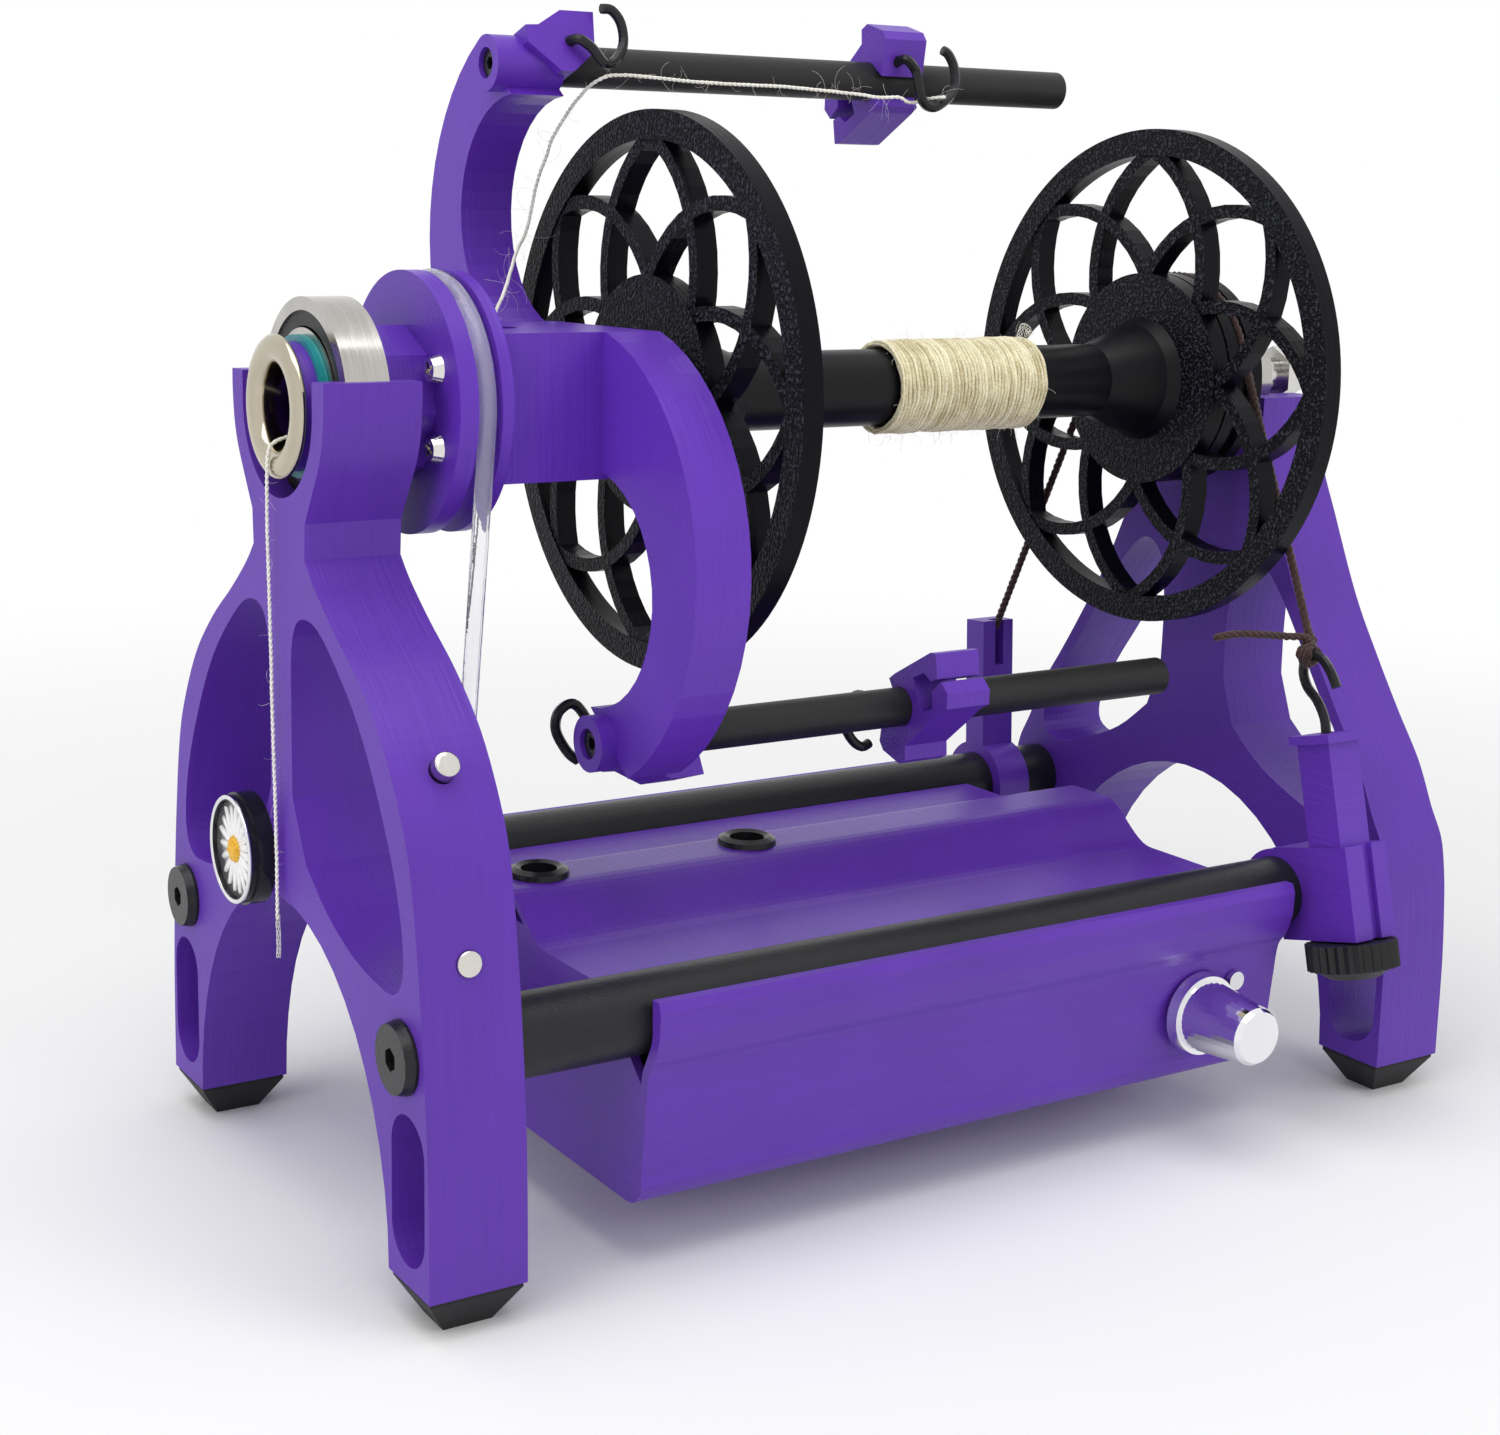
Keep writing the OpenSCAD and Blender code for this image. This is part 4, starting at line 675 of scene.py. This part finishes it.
# ---------- Yarn from the orifice ----------
# The same yarn comes out of the orifice over the ferrule's lip, hangs straight down in front of the
# frame, and ends in a loose wisp of fibres.
lead_route = [at(*p) for p in (
    (12, 0, 160), (4, 0, 158.6), (-0.6, 0, 157.2), (-1.8, 0, 155), (-1.9, 0.6, 149), (-1.8, 0.8, 136),
    (-1.6, 0.6, 120), (-1.6, 0.2, 104), (-1.5, -0.2, 88), (-1.4, -0.3, 74), (-1.4, -0.3, 62))]
lead_path = smooth_path(lead_route)
lead_length = sum((b - a).length for a, b in zip(lead_path, lead_path[1:]))
lead = yarn_rule.grow("yarn_from_orifice", line_mesh("lead_line", lead_path), Wander=0.0002, Seed=6)
lead_hair = hair_rule.grow("yarn_from_orifice_hairs", lead.data.copy(), Hairs=60000.0, Seed=2)
wisp_line = stepped(lead_route[-1], ((0, 0, 1), (-0.1, -0.3, -3), (-0.2, -0.6, -8)))
wisp = wisp_rule.grow("yarn_end_wisp", line_mesh("wisp_line", wisp_line), Ply_Radius=0.00006,
                      Off_Middle=0.0004, Turns_Per_Metre=90.0, Wander=0.0012, Seed=2)
show(lead, "yarn", "stand", "yarn_lead")
show(lead_hair, "yarn", "stand")
show(wisp, "yarn", "stand")
[tuple(p) for p in lead_path[::8] + [lead_path[-1]]]

# ---------- Brake ----------
# A printed clamp on the near tube holds a post that a thumb screw moves. The post's wire hook pulls
# a cord that lies in the bobbin's brake groove and is held by a printed anchor on the far tube.
brake_print = printed("brake_print", violet, "Z", 0.2, 0.38)
dress(brake_print, "brake_clamp", "brake_post")
dress(printed("anchor_print", violet, "X", 0.3, 0.40), "cord_anchor")
dress(hook_wire, "brake_hook")
dress(dark("thumb_knob_black", (0.012, 0.012, 0.013), 0.42), "thumb_knob")

cord_tone = Finish("brake_cord", {"Specular IOR Level": 0.35, "Sheen Weight": 0.2})
cord_fibre, cord_blot = cord_tone.grain(0.0004, 3.0), cord_tone.grain(0.008)
cord_tone.paint(Base_Color=cord_tone.mix(0.5 + (cord_fibre - 0.5) * 1.4 + (cord_blot - 0.5) * 0.8,
                                         (0.009, 0.0035, 0.003), (0.062, 0.022, 0.016)),
                Roughness=0.62 + (cord_fibre - 0.5) * 0.2)
cord_tone.bump(cord_fibre, 0.0002)

tube_y, tube_z = 56, 51.5
brake_lean, anchor_lean = math.radians(14), math.radians(3)
groove_x, cord_arc_r = 231.0, 24.4
cord_x, anchor_x = 225.2, 227.4


def off_tube(side, lean, out, up):
    """The y and z of a place on a post that leans off a side tube: out across it, up along it."""
    return (side * tube_y - out * math.cos(lean) + up * math.sin(lean),
            tube_z + out * math.sin(lean) + up * math.cos(lean))


def pull_angle(y, z, side):
    """Where a straight run from a place leaves the groove, seen along the spindle."""
    away = math.hypot(y, z - axis_z)
    return math.atan2(z - axis_z, y) + side * math.acos(cord_arc_r / away)


near_y, near_z = off_tube(-1, brake_lean, 13, 55.4)
far_y, far_z = off_tube(1, anchor_lean, 1.9, 42)
near_touch = pull_angle(near_y, near_z, -1) + 2 * math.pi
far_touch = pull_angle(far_y, far_z, 1)
groove = arc_at(groove_x, axis_z, cord_arc_r, near_touch, far_touch - near_touch, 32)
near_end, far_end = at(cord_x, near_y, near_z), at(anchor_x, far_y, far_z)
run_steps = 12
near_run = [near_end.lerp(groove[0], i / run_steps) for i in range(run_steps)]
far_run = [groove[-1].lerp(far_end, (i + 1) / run_steps) for i in range(run_steps)]
cord_rule = twist_rule("cord_rule", 3, cord_tone.material, {
    "Ply Radius": 0.00056, "Off Middle": 0.00046, "Turns Per Metre": 190.0, "Wander": 0.0001, "Seed": 1})
cord_line = smooth_path([*near_run, *groove, *far_run], spacing=0.0006)
brake_cord = cord_rule.grow("twisted_brake_cord", line_mesh("cord_line", cord_line))
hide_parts("brake_cord")
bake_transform(brake_cord)

# The near end is hitched round the hook's crook: loops round the wire, a knot, and a loose tail.
hook_x, hook_out, hook_up = 223.5, 13.6, 52.4
hook_top = at(hook_x, *off_tube(-1, brake_lean, hook_out, hook_up))
across = (at(hook_x, *off_tube(-1, brake_lean, hook_out + 1, hook_up)) - hook_top).normalized()
upward = (at(hook_x, *off_tube(-1, brake_lean, hook_out, hook_up + 1)) - hook_top).normalized()
lengthways = Vector((1, 0, 0))
loop_turns, loop_steps, loops_wide = 3.5, 90, 2.6
knot_line = []
for i in range(loop_steps + 1):
    a = 2 * math.pi * loop_turns * i / loop_steps
    drift = (i / loop_steps - 0.5) * loops_wide
    around = 1.75 + 0.28 * math.sin(3.1 * a)
    knot_line.append(hook_top + (lengthways * (around * math.cos(a)) + upward * (around * math.sin(a) + 0.25)
                                 + across * drift) / 1000)
bulge = at(224.9, near_y, near_z + 0.2)
bulge_turns, bulge_steps = 2.2, 40
for i in range(bulge_steps):
    a = 2 * math.pi * bulge_turns * i / bulge_steps
    knot_line.append(bulge + Vector((1.1 * math.cos(a), 0.9 * math.sin(a) * math.cos(0.7 * a),
                                     1.0 * math.sin(a) + 0.5 * math.sin(2.3 * a))) / 1000)
knot_path = smooth_path(knot_line[::3], spacing=0.0005)
knot = cord_rule.grow("brake_cord_knot", line_mesh("knot_line", knot_path),
                      Ply_Radius=0.00054, Off_Middle=0.00044, Turns_Per_Metre=200.0, Wander=0.0003, Seed=3)
tail_line = stepped(bulge, ((0.2, 0, 0), (-1.6, 0.4, 1.2), (-6, 1.4, 1.6), (-12, 2.8, 2.2), (-18, 4.4, 2.6),
                            (-23.4, 6.0, 2.0)), spacing=0.0005)
tail = cord_rule.grow("brake_cord_tail", line_mesh("tail_line", tail_line), Ply_Radius=0.00052,
                      Off_Middle=0.00042, Seed=5)
show(knot, "brake_cord", "tension_post")
show(tail, "brake_cord", "tension_post")

# ---------- Flower disc ----------
# A small turned disc stuck to the front frame's face: black edge, plated rim, and a shallow cup
# with a daisy of white enamel petals round a yellow middle.
disc_black = dark("disc_black", (0.012, 0.012, 0.016), 0.14, 0.003, 0.00002)
dress(disc_black, "flower_disc")
enamel = Finish("petal_enamel", {"Specular IOR Level": 0.5, "Coat Roughness": 0.08})
vein = enamel.grain(0.0009, 2.0)
enamel.paint(Base_Color=enamel.mix(vein, (0.78, 0.79, 0.80), (0.96, 0.96, 0.95)),
             Roughness=0.32 + (vein - 0.5) * 0.1, Coat_Weight=0.5 + (vein - 0.5) * 0.2)
enamel.bump(vein, 0.00005)
yellow = Finish("middle_enamel", {"Specular IOR Level": 0.5})
seeds = yellow.grain(0.0006, 2.0)
yellow.paint(Base_Color=yellow.mix(seeds, (0.72, 0.30, 0.01), (0.98, 0.66, 0.05)),
             Roughness=0.4 + (seeds - 0.5) * 0.2)
yellow.bump(seeds, 0.0003)
grey = Finish("cup_enamel", {"Specular IOR Level": 0.5, "Metallic": 0.6})
wash = grey.grain(0.003, 3.0)
grey.paint(Base_Color=grey.mix(wash, (0.16, 0.16, 0.17), (0.42, 0.42, 0.43)),
           Roughness=0.25 + (wash - 0.5) * 0.2)
grey.bump(wash, 0.00005)

flower_y, flower_z, flower_r = 15.0, 73.0, 11.6
petal_len, petal_half = 8.6, 1.15


def petal_mesh():
    """One long petal along X, blunt and a little notched at its end, crowned across."""
    rows, cols = 10, 5
    corners, sides = [], []
    for i in range(rows + 1):
        t = i / rows
        half = petal_half * math.sin(math.pi * (0.16 + 0.77 * t)) ** 0.5 * (0.55 + 0.45 * t)
        for k in range(cols):
            s = 2 * k / (cols - 1) - 1
            out = 1.4 + petal_len * t - (0.35 * (1 - abs(s)) if i == rows else 0)
            crown = 0.45 + 0.30 * (1 - s * s) - 0.25 * t * t
            corners.append((out / 1000, s * half / 1000, crown / 1000))
    top = len(corners)
    corners += [(x, y, 0.0) for x, y, z in corners]
    for i in range(rows):
        for k in range(cols - 1):
            a = i * cols + k
            sides += [(a, a + cols, a + cols + 1, a + 1),
                      (top + a, top + a + 1, top + a + cols + 1, top + a + cols)]
    edge = [*range(cols), *(i * cols + cols - 1 for i in range(1, rows + 1)),
            *(rows * cols + k for k in range(cols - 2, -1, -1)), *(i * cols for i in range(rows - 1, 0, -1))]
    for a, b in zip(edge, edge[1:] + edge[:1]):
        sides.append((a, b, top + b, top + a))
    made = bpy.data.meshes.new("petal")
    made.from_pydata(corners, [], sides)
    return made


petal_rule = Rule("petal_rule", {"Petals": 19, "Seed": 4})
spokes = petal_rule.node("GeometryNodeMeshCircle", {}, {
    "Vertices": petal_rule.size("Petals"), "Radius": 0.00001})
which = petal_rule.node("GeometryNodeInputIndex")
spoke_turn = petal_rule.node("ShaderNodeCombineXYZ", {}, {
    2: which / petal_rule.size("Petals") * (2 * math.pi)})
long_by = petal_rule.node("FunctionNodeRandomValue", {"data_type": "FLOAT"},
                          {"Min": 0.88, "Max": 1.04, "Seed": petal_rule.size("Seed")}, out=1)
petals_at = petal_rule.node("GeometryNodeInstanceOnPoints", {}, {
    "Points": spokes, "Instance": petal_rule.base, "Rotation": spoke_turn, "Scale": long_by})
petal_rule.finish(petals_at, enamel.material)
daisy = petal_rule.grow("daisy_petals", petal_mesh())

middle_rule = Rule("middle_rule", {"Radius": 0.0027, "Bumps": 900000.0, "Seed": 2})
dome = middle_rule.node("GeometryNodeMeshIcoSphere", {}, {"Radius": middle_rule.size("Radius"),
                                                        "Subdivisions": 4})
dome = middle_rule.node("GeometryNodeTransform", {}, {0: dome, "Scale": (1, 1, 0.36)})
buds = middle_rule.node("GeometryNodeDistributePointsOnFaces", {}, {
    "Mesh": dome, "Density": middle_rule.size("Bumps"), "Seed": middle_rule.size("Seed")})
bud = middle_rule.node("GeometryNodeMeshIcoSphere", {}, {"Radius": 0.00026, "Subdivisions": 1})
buds = middle_rule.node("GeometryNodeInstanceOnPoints", {}, {"Points": buds, "Instance": bud})
middle_rule.finish(middle_rule.join(dome, buds), yellow.material)
middle = middle_rule.grow("daisy_middle", bpy.data.meshes.new("middle_base"))

petals_up, middle_up = 3.75, 4.5
facing_out = Matrix.Translation(at(0, flower_y, flower_z)) @ Matrix.Rotation(-math.pi / 2, 4, "Y")
for piece, lift in ((daisy, petals_up), (middle, middle_up)):
    piece.data.transform(facing_out @ Matrix.Translation((0, 0, lift / 1000)))
rim = turned("disc_rim", (
    (flower_r - 1.5, 4.9), (flower_r - 1.35, 5.5), (flower_r - 0.9, 5.75), (flower_r - 0.45, 5.5),
    (flower_r - 0.4, 4.9)), metal("rim_plate", (0.78, 0.78, 0.80), 0.12), facing_out)
cup = turned("disc_cup", (
    (0, 3.7), (flower_r - 3, 3.75), (flower_r - 1.6, 4.5), (flower_r - 1.55, 3.65), (0, 3.62)),
    grey.material, facing_out)
show(daisy, "petal_white", "stand", "flower_petals")
show(middle, "petal_white", "stand")
show(rim, "disc_black", "stand")
show(cup, "disc_black", "stand")
